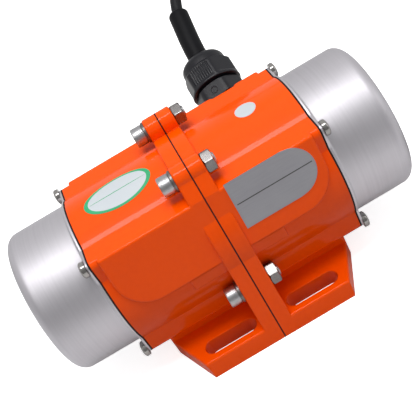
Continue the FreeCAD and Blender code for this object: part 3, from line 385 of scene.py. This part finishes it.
def six_sided(angle: np.ndarray, flats: float, corner: float) -> np.ndarray:
    """The radius of a hexagon with softened corners.

    The half width is divided by the cosine of the angle from the middle of the nearest flat, and blended
    with the corner's radius by their high negative powers.

    Args:
        angle: in radians, with a corner at zero.
        flats: width across the flats.
        corner: radius that the corners stay within.

    Returns:
        The radius at each angle.
    """
    turn = np.mod(angle, math.pi / 3) - math.pi / 6
    plain = flats / 2 / np.cos(turn)
    return (plain**-60 + float(corner) ** -60) ** (-1 / 60)


def turned(axis: Axis | BentAxis, steps: list[tuple], angle: np.ndarray) -> np.ndarray:
    """Steps of (distance, radius) carried round an axis as a grid: numbers, or one value for each angle."""
    return np.stack([axis.points(distance, radius, angle) for distance, radius in steps])


def rounded(end: float, radius: float, rounding: float) -> list[Pair]:
    """The quarter circle from a cylinder's side to its end face, as steps of (distance, radius)."""
    return [(end - rounding * (1 - math.sin(bend)), radius - rounding * (1 - math.cos(bend)))
            for bend in np.linspace(0, math.pi / 2, 9)]


def eased(value: np.ndarray) -> np.ndarray:
    """Rises smoothly from zero to one as the value does."""
    held = np.clip(value, 0, 1)
    return held * held * (3 - 2 * held)


class SubAssembly:
    """A group of pieces that are made and dressed together."""

    def put(self, name: str, grids: list[np.ndarray], finish: Finish, stands_for: str = "",
            wrap: bool = False, sharp: float = 35.0) -> bpy.types.Object:
        """Makes an object of grids, gives it its finish and lets it ride on the frame.

        Args:
            name: the piece's name.
            grids: its surface, in place.
            finish: what it is made of.
            stands_for: the CAD node that it replaces, if any.
            wrap: as for grid_mesh.
            sharp: as for grid_mesh.

        Returns:
            The new object.
        """
        mesh = grid_mesh(name, grids, wrap, sharp)
        piece = new_object(name, mesh)
        mesh.materials.append(finish.make())
        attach(piece, "frame")
        if stands_for:
            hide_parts(stands_for)
        LOG.info("%s: %d faces", name, len(mesh.polygons))
        return piece

    def dress(self, finish: Finish, *stems: str) -> None:
        """Gives a finish to every CAD node whose name starts with one of the stems."""
        for node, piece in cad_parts.items():
            if node.startswith(stems):
                piece.data.materials.clear()
                piece.data.materials.append(finish.make())

    def build(self) -> None:
        """Makes the group's pieces."""
        raise NotImplementedError


@dataclass
class PhotographCamera:
    """The camera as the photograph has it: level azimuth, tilted down and rolled about its view."""

    elevation: float = 38.9
    roll: float = 30.6
    distance: float = 421.0
    lens: float = 73.5
    aim: Pair = (209.7, 207.7)
    frame_size: float = 416.0

    def build(self) -> None:
        """Places the camera behind the shaft's middle, along its view."""
        tilt, roll = math.radians(self.elevation), math.radians(self.roll)
        view = Vector((0, math.cos(tilt), -math.sin(tilt)))
        level, above = Vector((1, 0, 0)), Vector((0, math.sin(tilt), math.cos(tilt)))
        right = level * math.cos(roll) - above * math.sin(roll)
        up = level * math.sin(roll) + above * math.cos(roll)
        place = Vector((0, 0, SHAFT)) * MM - view * self.distance * MM
        data = bpy.data.cameras.new("camera")
        data.lens, data.sensor_width = self.lens, 36.0
        data.clip_start, data.clip_end = 0.01, 20.0
        middle = self.frame_size / 2
        data.shift_x = (middle - self.aim[0]) / self.frame_size
        data.shift_y = (self.aim[1] - middle) / self.frame_size
        camera = new_object("camera", data)
        turn = Matrix((right, up, -view)).transposed().to_4x4()
        camera.matrix_world = Matrix.Translation(place) @ turn
        bpy.context.scene.camera = camera


@dataclass
class SoftStudio:
    """A pale floor, an even white surround and large soft lamps."""

    floor_size: float = 6000.0
    surround: float = 0.42
    floor_glow: float = 0.75

    def build(self) -> None:
        """Makes the floor, the surround and the lamps."""
        bpy.context.scene.view_settings.view_transform = "Standard"
        self.floor()
        self.world()
        self.lamp("strip_above", (0, -170, 1000), (900, 170), 4.8)
        self.lamp("softbox_behind", (0, 260, 950), (700, 700), 5.0, mirrored=False)
        self.lamp("softbox_front", (-150, -1100, 420), (700, 700), 1.0, mirrored=False)
        self.lamp("softbox_right", (900, -300, 500), (600, 600), 0.9)

    def floor(self) -> None:
        """The floor: pale, white to the camera but for the object's shadow, and darker to reflections."""
        half = self.floor_size / 2 * MM
        mesh = bpy.data.meshes.new("studio_floor")
        corners = [(-half, -half, 0), (half, -half, 0), (half, half, 0), (-half, half, 0)]
        mesh.from_pydata(corners, [], [(0, 1, 2, 3)])
        floor = new_object("studio_floor", mesh)
        material = bpy.data.materials.new("pale_studio_floor")
        tree = empty_tree(material)
        path = add_node(tree, "LightPath")
        seen, glossy = path["Is Camera Ray"], path["Is Glossy Ray"]
        shown = add_node(tree, "Mix", {0: glossy, 2: 0.36, 3: 0.66})[0]
        colour = add_node(tree, "Mix", {0: seen, 2: shown, 3: 0.8})[0]
        pale = add_node(tree, "BsdfDiffuse", {"Color": colour})[0]
        power = add_node(tree, "Math", {0: seen, 1: self.floor_glow}, operation="MULTIPLY")[0]
        glow = add_node(tree, "Emission", {"Strength": power})[0]
        lit = add_node(tree, "AddShader", {0: pale, 1: glow})[0]
        add_node(tree, "OutputMaterial", {"Surface": lit})
        mesh.materials.append(material)

    def world(self) -> None:
        """The surround: white where it is seen, a soft even light elsewhere, and dark behind the camera.

        A reflection sees a light grey above and behind the motor, which fades to a darker one in front.
        """
        world = bpy.data.worlds.new("surround")
        bpy.context.scene.world = world
        tree = empty_tree(world)
        path = add_node(tree, "LightPath")
        rays = {0: path["Is Camera Ray"], 1: path["Is Transmission Ray"]}
        seen = add_node(tree, "Math", rays, operation="MAXIMUM")[0]
        towards = {0: add_node(tree, "TexCoord")["Generated"], 1: (0.0, 0.9, 0.43)}
        above = add_node(tree, "VectorMath", towards, operation="DOT_PRODUCT")["Value"]
        tones = {"From Min": -0.55, "From Max": 0.4, "To Min": 0.26, "To Max": 0.68, "Value": above}
        mirrored = add_node(tree, "MapRange", tones)[0]
        glossy = add_node(tree, "Mix", {0: path["Is Glossy Ray"], 2: self.surround, 3: mirrored})[0]
        power = add_node(tree, "Mix", {0: seen, 2: glossy, 3: 1.0})[0]
        light = add_node(tree, "Background", {"Color": (1, 1, 1, 1), "Strength": power})[0]
        add_node(tree, "OutputWorld", {"Surface": light})

    def lamp(self, name: str, place: Triple, size: Pair, power: float, mirrored: bool = True) -> None:
        """Hangs a flat lamp that points at the motor.

        Args:
            name: the lamp's name.
            place: in millimetres.
            size: along the shaft and across it, in millimetres.
            power: in watts.
            mirrored: whether glossy surfaces show it.
        """
        data = bpy.data.lights.new(name, "AREA")
        data.shape, data.energy = "RECTANGLE", power
        data.size, data.size_y = size[0] * MM, size[1] * MM
        lamp = new_object(name, data)
        lamp.location = Vector(place) * MM
        lamp.rotation_euler = (Vector((0, 0, SHAFT)) * MM - lamp.location).to_track_quat("-Z", "Y").to_euler()
        lamp.visible_glossy = mirrored


# The gland's axis, where the sleeve bends on it, and how far the sleeve goes on from there.
GLAND_RISE = math.radians(30)
GLAND = Axis((35.0, 0.0, SHAFT), (0.0, math.cos(GLAND_RISE), math.sin(GLAND_RISE)), (1.0, 0.0, 0.0))
SLEEVE_BEND, SLEEVE_FREE = 80.0, 26.9


def out_of_gland(distance: float, along_lean: float = 0.0) -> Triple:
    """A point on the gland's axis, at a distance from the shaft's, or further along the sleeve's lean."""
    lean = np.array((3.6, 23.4, 13.5))
    point = GLAND.points(distance, 0.0, 0.0) + along_lean * lean / np.linalg.norm(lean)
    return tuple(point.tolist())


@dataclass
class SupplyCable(SubAssembly):
    """The cable from the sleeve to its coil on the floor, its stripped end and the strap on the coil."""

    radius: float = 3.2
    coil_middle: Pair = (166.0, 12.0)
    coil_radius: float = 35.0
    coil_floor: float = 0.8
    layer_turns: int = 2
    climb_turn: float = 0.25
    points_per_turn: int = 16
    strap_inside: float = 3.25
    strap_outside: float = 3.95
    strap_half: float = 3.0
    core: float = 1.12
    core_from_middle: float = 1.33
    core_free: float = 24.0
    tip: float = 0.66

    def coil(self) -> list[Triple]:
        """The coil's turns, clockwise from its right-hand side.

        The radius shrinks by one diameter a turn in the lower layer, holds while the cable climbs by one
        diameter over a quarter turn, and grows by one diameter a turn in the upper layer.

        Returns:
            The points of the turns.
        """
        layer, climb, wide = self.layer_turns, self.climb_turn, self.radius * 2
        turns = 2 * layer + climb
        turn = np.arange(1, int(turns * self.points_per_turn) + 1) / self.points_per_turn
        inwards = np.where(turn < layer, turn, np.where(turn < layer + climb, layer, turns - turn))
        reach = self.coil_radius + wide - wide * inwards
        rise = wide * eased((turn - layer) / climb)
        angle = -2 * math.pi * turn
        x = self.coil_middle[0] + reach * np.cos(angle)
        y = self.coil_middle[1] + reach * np.sin(angle)
        z = self.coil_floor + self.radius + rise
        return list(zip(x.tolist(), y.tolist(), z.tolist()))

    def route(self) -> list[Triple]:
        """The cable's whole way, from inside the sleeve's end to its own stripped end."""
        x, y = self.coil_middle
        low, side = self.coil_floor + self.radius, x + self.coil_radius + self.radius * 2
        climb = [out_of_gland(SLEEVE_BEND, SLEEVE_FREE - 4), out_of_gland(SLEEVE_BEND, 37),
                 (68, 125, 128), (112, 138, 112), (150, 130, 72), (182, 108, 34), (side - 2, y + 60, 10),
                 (side, y + 27, low), (side, y, low)]
        high = low + self.radius * 2
        end = [(x - 14, y - 41.4, high - 1.4), (x - 33.7, y - 44.9, 5.4), (x - 50, y - 51.5, 3.4)]
        return climb + self.coil() + end

    def strap(self) -> np.ndarray:
        """The strap round the coil, pulled tight on the four places where the cable passes through it.

        The curve passes a point of its own at one eighth of the way to both neighbours. Towards each
        direction the strap stands off the cable section that lies furthest that way, so that it runs round
        their arcs and straight between them.

        Returns:
            The strap's grid: its own section of four corners, carried round.
        """
        turns = np.array(self.coil())
        near = [int((n + 0.5) * self.points_per_turn) - 1 for n in range(2 * self.layer_turns)]
        centres = np.array([(turns[i - 1] + 6 * turns[i] + turns[i + 1]) / 8 for i in near])
        angle = ring(96)
        away = np.stack([np.cos(angle), np.zeros_like(angle), np.sin(angle)], -1)
        furthest = centres[np.argmax(away @ centres.T, axis=1)]
        inner, outer, half = self.strap_inside, self.strap_outside, self.strap_half
        corners = [(outer, half), (outer, -half), (inner, -half), (inner, half)]
        return np.stack([furthest + away * off + (0.0, side, 0.0) for off, side in corners], 1)

    def cores(self, end: Triple, before: Triple) -> list[bpy.types.Object]:
        """Three insulated cores that stand out of the cable's end, with bare tips.

        Args:
            end: the cable's last point.
            before: the point before it.

        Returns:
            The three cores and their tips.
        """
        ahead = np.subtract(end, before) * (1, 1, 0)
        ahead = ahead / np.linalg.norm(ahead)
        up, core, tip = np.array((0, 0, 1)), self.core, self.tip
        aside, tips, pieces = np.cross(up, ahead), [], []
        for i, finish in enumerate(CORES):
            angle, long = math.radians(120 * i + 90), self.core_free + 2 * i
            off = self.core_from_middle * (math.cos(angle) * aside + math.sin(angle) * up)
            axis = Axis(tuple(np.array(end) + off - 4 * ahead), tuple(ahead), (0.0, 0.0, 1.0))
            sheath = [(0, 0), (0, core), (long - 0.15, core), (long, core - 0.12), (long, 0)]
            bare = long + 7
            strands = [(long - 1, 0), (long - 1, tip), (bare - 0.3, tip), (bare, tip - 0.26), (bare, 0)]
            tips.append(turned(axis, strands, ring(24)))
            name = f"cable_core_{finish.name.split('_')[0]}"
            pieces.append(self.put(name, [turned(axis, sheath, ring(32))], finish, "cable_cores"))
        return pieces + [self.put("cable_core_tips", tips, TINNED_STRANDS)]

    def build(self) -> None:
        """Makes the cable, its strap and its cores."""
        points = self.route()
        curve = bpy.data.curves.new("supply_cable", "CURVE")
        curve.dimensions = "3D"
        curve.bevel_depth, curve.bevel_resolution = self.radius * MM, 5
        curve.resolution_u, curve.use_fill_caps = 8, True
        spline = curve.splines.new("NURBS")
        spline.points.add(len(points) - 1)
        for point, (x, y, z) in zip(spline.points, points):
            point.co = (x * MM, y * MM, z * MM, 1)
        spline.order_u, spline.use_endpoint_u = 3, True
        cable = new_object("supply_cable", curve)
        curve.materials.append(CABLE_SHEATH.make())
        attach(cable, "frame")
        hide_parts("power_cable", "cable_coil", "cable_tail")
        strap = self.put("coil_strap", [self.strap()], STRAP_NYLON, "coil_tie", wrap=True)
        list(self.cores(points[-1], points[-2]))
        LOG.info("supply cable: %d points", len(points))


@dataclass
class CableGland(SubAssembly):
    """The moulded gland: lower hexagon, ribbed nut with a domed end, and the soft sleeve."""

    seat: float = 44.5
    bore: float = 7.1
    stem: float = 10.1
    hexagon: float = 24.0
    hexagon_end: float = 53.6
    hexagon_turn: float = math.radians(-13.3)
    nut_start: float = 54.5
    nut_flats: float = 25.2
    nut_turn: float = math.radians(-19.5)
    shoulder: float = 67.1
    top: float = 73.5
    skirt: float = 13.9
    dome_round: float = 4.0
    sleeve: float = 5.45
    sleeve_bore: float = 3.3
    sleeve_round: float = 2.2
    mark_radius: float = 1.75
    rib_step: float = 1.32
    rib_height: float = 0.4

    def lower_body(self) -> np.ndarray:
        """The lower hexagon: its outline carried up, chamfered at its corners, and the stem above it."""
        angle = ring(192)
        flats = six_sided(angle - self.hexagon_turn, self.hexagon, self.hexagon * 0.552)
        circle = self.hexagon / 2 - 0.3
        drop = (flats - circle) * 0.5
        low, high, top = self.seat, self.hexagon_end, self.nut_start + 1
        return turned(GLAND, [(low, self.bore), (low, circle), (low + drop, flats), (high - drop, flats),
                              (high, circle), (high, self.stem), (top, self.stem), (top, self.bore)], angle)

    def ribbed_nut(self) -> np.ndarray:
        """The nut: a round skirt, a soft hexagon with fine ribs on every other face, a shoulder and a dome.

        Over the skirt the radius goes from a circle to the hexagon. Along a ribbed face it gains a rounded
        wave of the distance across the face, faded out near both edges of the grip. The grip's upper end
        drops with the radius beyond a circle, so that each face ends in a bow.

        Returns:
            The nut's grid, from its lower face round to its bore.
        """
        angle = ring(720)
        turned_by = np.mod(angle - self.nut_turn, 2 * math.pi)
        flats = six_sided(turned_by, self.nut_flats, self.nut_flats * 0.556)
        across = self.nut_flats / 2 * np.tan(np.mod(turned_by, math.pi / 3) - math.pi / 6)
        ribbed = np.mod(np.floor(turned_by / (math.pi / 3)), 2) == 0
        wave = 0.5 + 0.5 * np.cos(2 * math.pi * across / self.rib_step)
        field_of = ribbed & (np.abs(across) < 5.9)
        ribs = np.where(field_of, self.rib_height * eased(wave * 1.5) - self.rib_height * 0.7, 0.0)
        low, high, top, sleeve = self.nut_start, self.shoulder, self.top, self.sleeve
        skirt, radius = self.skirt, self.nut_flats / 2 - 0.5
        steps = [(low, sleeve + 1.8), (low, skirt - 0.5), (low + 0.15, skirt - 0.15), (low + 0.5, skirt)]
        steps += [(low + 1.0 + 1.6 * s, skirt + (flats - skirt) * eased(s)) for s in np.linspace(0, 1, 6)]
        steps += [(low + 3.1, flats + ribs), (high - 2.6, flats + ribs), (high - 2.1, flats),
                  (high - (flats - radius) * 1.1, flats), (high, radius), (high + 0.3, radius)]
        steps += rounded(top, radius, self.dome_round)
        steps += [(top, sleeve + 1.1), (top - 0.5, sleeve + 0.35), (top - 6, sleeve + 0.3)]
        return turned(GLAND, steps, angle)

    def soft_sleeve(self) -> np.ndarray:
        """The sleeve: a tube that leans a little past its bend, with a well rounded outer end."""
        path = BentAxis(out_of_gland(self.nut_start), out_of_gland(SLEEVE_BEND),
                        out_of_gland(SLEEVE_BEND, SLEEVE_FREE))
        end, radius, bore = path.length(), self.sleeve, self.sleeve_bore
        steps = [(0.0, bore), (0.0, radius)]
        steps += [(d, radius) for d in np.linspace(4, end - self.sleeve_round, 24)]
        steps += rounded(end, radius, self.sleeve_round)[1:]
        steps += [(d, bore) for d in np.linspace(end - 0.6, 0.0, 24)]
        return turned(path, steps, ring(64))

    def mould_mark(self) -> np.ndarray:
        """A raised ring on one facet of the lower hexagon: a small round section carried round a circle."""
        facing = self.hexagon_turn - math.pi / 2
        out = np.array(GLAND.across) * math.cos(facing)
        out = out + np.cross(GLAND.along, GLAND.across) * math.sin(facing)
        middle = np.array(out_of_gland((self.seat + self.hexagon_end) / 2)) + out * (self.hexagon / 2)
        mark = Axis(tuple(middle), tuple(out), GLAND.along)
        around, section = ring(48)[:, None], ring(10)[None, :]
        return mark.points(0.24 * np.sin(section), self.mark_radius + 0.28 * np.cos(section), around)

    def build(self) -> None:
        """Makes the three visible pieces of the gland and dresses the seal."""
        self.put("gland_lower_body", [self.lower_body()], BLACK_NYLON, "gland_body", wrap=True, sharp=30)
        self.put("gland_ribbed_nut", [self.ribbed_nut()], BLACK_NYLON, "gland_nut", wrap=True, sharp=40)
        self.put("gland_soft_sleeve", [self.soft_sleeve()], SOFT_PVC, "cable_sleeve", sharp=60)
        self.put("gland_mould_mark", [self.mould_mark()], BLACK_NYLON, wrap=True, sharp=60)
        self.dress(SOFT_PVC, "gland_seal")


BOLT_SPOTS = ((23.0, 92.0), (-23.0, 92.0), (40.2, 29.0), (-40.2, 29.0))


@dataclass
class FlangeHardware(SubAssembly):
    """The four bolts through the flange, their washers and nuts: each is a grid about its bolt's axis."""

    face: float = 7.5
    washer: float = 1.2
    washer_radius: float = 5.4
    washer_slit: float = 0.12
    head: float = 5.0
    head_height: float = 6.0
    socket: float = 5.0
    thread: float = 3.0
    nut: float = 10.0
    nut_height: float = 5.2
    nut_turn: float = 3.0
    proud: float = 0.8

    def bolt(self, axis: Axis) -> np.ndarray:
        """A socket head, with a small wave round its side for the knurl, and the shank to beyond the nut."""
        angle = ring(144)
        head, thread = self.head, self.thread
        knurled = head - 0.14 * np.abs(np.cos(angle * 24))
        inner = six_sided(angle, self.socket, self.socket)
        low, high = self.face + self.washer, self.face + self.washer + self.head_height
        end = -(self.face + self.nut_height + self.proud)
        steps = [(high - 3.2, 0), (high - 3.2, inner), (high - 0.25, inner), (high, inner + 0.3),
                 (high, head - 0.75), (high - 0.2, head - 0.3), (high - 0.75, knurled), (low + 0.6, knurled),
                 (low + 0.35, head - 0.2), (low, head - 0.35), (low, thread), (end + 0.6, thread),
                 (end, thread - 0.6), (end, 0)]
        return turned(axis, steps, angle)

    def spring_washer(self, axis: Axis) -> np.ndarray:
        """A split ring of square wire with softened corners, pressed flat: its ends leave a narrow slit."""
        half_slit = self.washer_slit / 2
        angle = np.linspace(half_slit, 2 * math.pi - half_slit, 72) + 0.7
        low, high, soft = self.face, self.face + self.washer, 0.12
        inner, outer = self.thread + 0.45, self.washer_radius
        section = np.array([(low + soft, inner), (low, inner + soft), (low, outer - soft),
                            (low + soft, outer), (high - soft, outer), (high, outer - soft),
                            (high, inner + soft), (high - soft, inner)])
        wire = axis.points(section[None, :, 0], section[None, :, 1], angle[:, None])
        middle = np.repeat(section.mean(0)[None], len(section), 0)
        ends = [axis.points(middle[:, 0], middle[:, 1], a)[None] for a in (angle[0], angle[-1])]
        return np.concatenate([ends[0], wire, ends[1]])

    def hexagon_nut(self, axis: Axis) -> np.ndarray:
        """A chamfered nut: its edge drops with the radius beyond the chamfer's circle, at thirty degrees."""
        angle = ring(144)
        outline = six_sided(angle + math.radians(self.nut_turn), self.nut, self.nut * 0.574)
        circle, bore = self.nut / 2 * 0.9, self.thread + 0.05
        drop = (outline - circle) * math.tan(math.radians(30))
        low, high = self.face, self.face + self.nut_height
        steps = [(low, bore), (low, circle), (low + drop, outline), (high - drop, outline), (high, circle),
                 (high, bore + 0.5), (high - 0.5, bore)]
        return turned(axis, steps, angle)

    def build(self) -> None:
        """Makes the bolts, washers and nuts, each set as one piece."""
        left, right = ([along_shaft(y, z, side) for y, z in BOLT_SPOTS] for side in Side)
        bolts, washers = [self.bolt(axis) for axis in left], [self.spring_washer(axis) for axis in left]
        nuts = [self.hexagon_nut(axis) for axis in right]
        self.put("flange_socket_bolts", bolts, ZINC_PLATE, "flange_bolts", sharp=28)
        self.put("flange_spring_washers", washers, SPRUNG_STEEL, "flange_washers", sharp=30)
        self.put("flange_hexagon_nuts", nuts, DARK_ZINC, "flange_nuts", wrap=True, sharp=18)


@dataclass
class EndCaps(SubAssembly):
    """The two drawn caps with their gaskets and pan-head screws."""

    seat: float = 59.8
    sheet: float = 1.2
    radius: float = 37.9
    end: float = 94.8
    corner: float = 6.0
    crown: float = 1500.0
    barrel: float = 39.5
    ear: float = 33.4
    ear_corner: float = 3.5
    screw_at: float = 30.7
    screw_head: float = 4.05
    screw_dome: float = 3.1
    screw_thread: float = 2.0
    screw_length: float = 11.9

    def outline(self, angle: np.ndarray) -> np.ndarray:
        """The radius of the flange's outline: the larger of the barrel and of a square with round corners.

        Args:
            angle: about the shaft, in radians, with zero upwards.

        Returns:
            The outline's radius at each angle.
        """
        turn = np.mod(angle, math.pi / 2)
        turn = np.minimum(turn, math.pi / 2 - turn)
        centre = self.ear - self.ear_corner
        reach, apart = centre * math.sqrt(2), np.pi / 4 - turn
        inside = np.clip(self.ear_corner**2 - (reach * np.sin(apart)) ** 2, 0, None)
        corner, flat = reach * np.cos(apart) + np.sqrt(inside), self.ear / np.cos(turn)
        square = np.where(turn > math.atan2(centre, self.ear), corner, flat)
        return np.maximum(square, self.barrel)

    def shell(self, side: Side) -> np.ndarray:
        """The cap's grid: inside the bowl, round the flange's outline, and over the bowl's outside."""
        angle = ring(360)
        edge = self.outline(angle)
        seat, face, radius, bend = self.seat, self.seat + self.sheet, self.radius, 1.1
        steps = [(self.end - self.sheet, 0), *reversed(self.bowl(self.sheet)), (seat, radius - self.sheet),
                 (seat, edge), (seat + 0.25, edge), (face - 0.3, edge), (face, edge - 0.3),
                 (face, radius + bend)]
        steps += [(face + bend * (1 - math.cos(a)), radius + bend * (1 - math.sin(a)))
                  for a in np.linspace(0.2, math.pi / 2, 6)]
        return turned(along_shaft(0, SHAFT, side), steps + self.bowl(0.0) + [(self.end, 0)], angle)

    def bowl(self, less: float) -> list[Pair]:
        """The bowl's profile: straight wall, round shoulder and a crown of large radius.

        The shoulder's circle touches the wall from inside and the crown's circle from inside.

        Args:
            less: how far inside the outer surface it lies.

        Returns:
            Distance and radius of each step.
        """
        radius, corner, crown = self.radius - less, self.corner - less, self.crown - less
        end = self.end - less
        height = radius - corner
        middle = end - crown + math.sqrt((crown - corner) ** 2 - height**2)
        last = math.asin(height / (crown - corner))
        steps = [(self.seat + self.sheet + 4, radius)]
        steps += [(middle + corner * math.sin(a), height + corner * math.cos(a))
                  for a in np.linspace(0, math.pi / 2 - last, 14)]
        start = math.asin(min(1.0, steps[-1][1] / crown))
        steps += [(end - crown + crown * math.cos(a), crown * math.sin(a))
                  for a in np.linspace(start, 0.02, 9)[1:]]
        return steps

    def screw(self, axis: Axis, turn: float) -> np.ndarray:
        """A pan head with a cross recess: a dome's height, less a cross that fades out to its ends.

        Args:
            axis: the screw's own.
            turn: how the cross is turned, in radians.

        Returns:
            The screw's grid.
        """
        angle = ring(96)
        base, radius, thread = self.seat + self.sheet, self.screw_head, self.screw_thread
        out = np.linspace(0, 1, 22)[:, None]
        height = self.screw_dome * (0.55 + 0.45 * np.sqrt(np.clip(1 - out**2.6, 0, 1)))
        u, v = out * radius * np.cos(angle + turn), out * radius * np.sin(angle + turn)
        narrow, wide = np.minimum(abs(u), abs(v)), np.maximum(abs(u), abs(v))
        slot = eased((0.62 - narrow) / 0.22) * eased((2.45 - wide) / 0.5)
        heart = eased((1.25 - np.hypot(u, v)) / 0.5)
        height = height - 1.3 * np.maximum(slot, heart)
        steps = list(zip(base + height, radius * out[:, 0]))
        tip = base - self.screw_length
        steps += [(base, radius - 0.15), (base, thread), (tip, thread), (tip, 0)]
        return turned(axis, steps, angle)

    def build(self) -> None:
        """Makes both caps and their screws, and dresses the gaskets."""
        turns = (0.3, 1.0, 0.75, 0.1)
        at, corners = self.screw_at, ((1, 1), (-1, 1), (1, -1), (-1, -1))
        for side in Side:
            cap, screws = side.node("drawn_cap"), side.node("pan_head_screws")
            self.put(cap, [self.shell(side)], DRAWN_ALUMINIUM, side.node("end_cap"), sharp=40)
            grids = [self.screw(along_shaft(y * at, SHAFT + z * at, side), turn + side.value * 0.35)
                     for (y, z), turn in zip(corners, turns)]
            self.put(screws, grids, BRIGHT_ZINC, side.node("cap_screws"), sharp=32)
        self.dress(GASKET_FIBRE, "cap_gasket")


@dataclass
class CastHousing(SubAssembly):
    """The two painted halves, their gasket, and the plate and stickers on them."""

    tilt: float = 13.0
    reach: float = 40.8
    barrel: float = 39.5
    plate_start: float = 10.0
    plate_end: float = 51.0
    plate_middle: float = 13.6
    plate_half: float = 12.4

    def on_pad(self, x: np.ndarray, up: np.ndarray, proud: float) -> np.ndarray:
        """Points over the front pad's leaning face: along the shaft, up from its axis, and above the face."""
        lean = math.radians(self.tilt)
        out = self.reach + proud
        y = -(out * math.cos(lean)) + up * math.sin(lean)
        z = SHAFT + out * math.sin(lean) + up * math.cos(lean)
        return np.stack(np.broadcast_arrays(x, y, z), -1)

    def on_barrel(self, x: np.ndarray, arc: np.ndarray, proud: float) -> np.ndarray:
        """Points over the barrel: along the shaft, by arc length from its top to the front, and above it."""
        angle = arc / self.barrel
        radius = self.barrel + proud
        return np.stack(np.broadcast_arrays(x, -radius * np.sin(angle), SHAFT + radius * np.cos(angle)), -1)

    def sticker(self, name: str, finish: Finish, centre: Pair, size: Pair,
                band: Pair = (0.0, 1.0), lift: float = 0.12) -> None:
        """A thin oval on the barrel: rings between two shares of its size, closed by its underside.

        Args:
            name: the piece's name.
            finish: its surface.
            centre: along the shaft, and round the barrel from its top.
            size: half its length and half its width.
            band: inner and outer share of the size.
            lift: its upper side above the barrel.
        """
        angle, share = ring(96), np.linspace(*band, 9)[:, None]
        x, arc = centre[0] + size[0] * share * np.cos(angle), centre[1] + size[1] * share * np.sin(angle)
        top, bottom = (self.on_barrel(x, arc, height) for height in (lift, 0.01))
        self.put(name, [np.concatenate([top, bottom[::-1]])], finish, wrap=band[0] > 0, sharp=50)

    def plate(self, name: str, finish: Finish, lift: Pair, inset: float = 0.0,
              band: Pair = (-math.inf, math.inf)) -> None:
        """The plate on the right front pad: square at the joint's end, round at the outer end.

        The upper and lower edges meet a half circle: each row runs from the straight end to the circle.

        Args:
            name: the piece's name.
            finish: its surface.
            lift: its underside and upper side above the face.
            inset: how far inside the plate's own outline it stays.
            band: how far down and up the face it reaches.
        """
        start, end, middle = self.plate_start + inset, self.plate_end - inset, self.plate_middle
        half = self.plate_half - inset
        up = np.linspace(max(band[0], middle - half), min(band[1], middle + half), 41)[:, None]
        far = end - half + np.sqrt(np.clip(half**2 - (up - middle) ** 2, 0, None))
        x = start + (far - start) * np.linspace(0, 1, 25)[None, :]
        bottom, top = (self.on_pad(x, up, height) for height in lift)
        loop = np.concatenate([top, bottom[:, ::-1]], axis=1)
        lower_end = np.repeat(loop[:1].mean(1, keepdims=True), loop.shape[1], axis=1)
        self.put(name, [np.concatenate([lower_end, loop])], finish, sharp=40)

    def build(self) -> None:
        """Dresses the castings and the gasket, and lays the plate and the stickers on."""
        self.dress(POWDER_COAT, "housing_left", "housing_right")
        self.dress(GASKET_FIBRE, "housing_gasket")
        self.plate("rating_plate", PLATE_FOIL, (0.02, 0.3))
        self.plate("plate_rule", PLATE_INK, (0.29, 0.33), 1.2, (13.9, 14.4))
        oval = (-33.0, 3.1)
        self.sticker("oval_sticker_border", STICKER_GREEN, oval, (17.6, 10.0), (0.88, 1.0), 0.13)
        self.sticker("oval_sticker", STICKER_WHITE, oval, (15.6, 8.9))
        self.sticker("oval_sticker_rule", STICKER_GREEN, oval, (14.9, 0.2), lift=0.15)
        self.sticker("round_sticker", STICKER_WHITE, (37.5, -0.5), (5.3, 5.3))


class InnerWorks(SubAssembly):
    """The pieces inside the housing, dressed as they were made."""

    def build(self) -> None:
        """Dresses every inner node."""
        self.dress(LAMINATED_STEEL, "stator_core", "rotor_core")
        self.dress(VARNISHED_COPPER, "stator_windings")
        self.dress(CAST_CAGE, "rotor_cage")
        self.dress(GROUND_STEEL, "shaft", "weight_keys", "weight_spacers")
        self.dress(GROUND_STEEL, "bearing_cover", "inner_weight", "outer_weight")
        self.dress(SPRUNG_STEEL, "retaining_rings")
        self.dress(BEARING_STEEL, "bearing_inner", "bearing_outer", "bearing_balls")
        self.dress(ZINC_PLATE, "weight_clamp_screw")


def main() -> None:
    """Builds the camera and cable first, then the studio and the motor's sub-assemblies."""
    logging.basicConfig(level=logging.INFO, format="%(name)s: %(message)s")
    PhotographCamera().build()
    SupplyCable().build()
    SoftStudio().build()
    for group in (CastHousing(), EndCaps(), FlangeHardware(), CableGland(), InnerWorks()):
        group.build()


if __name__ == "__main__":
    main()
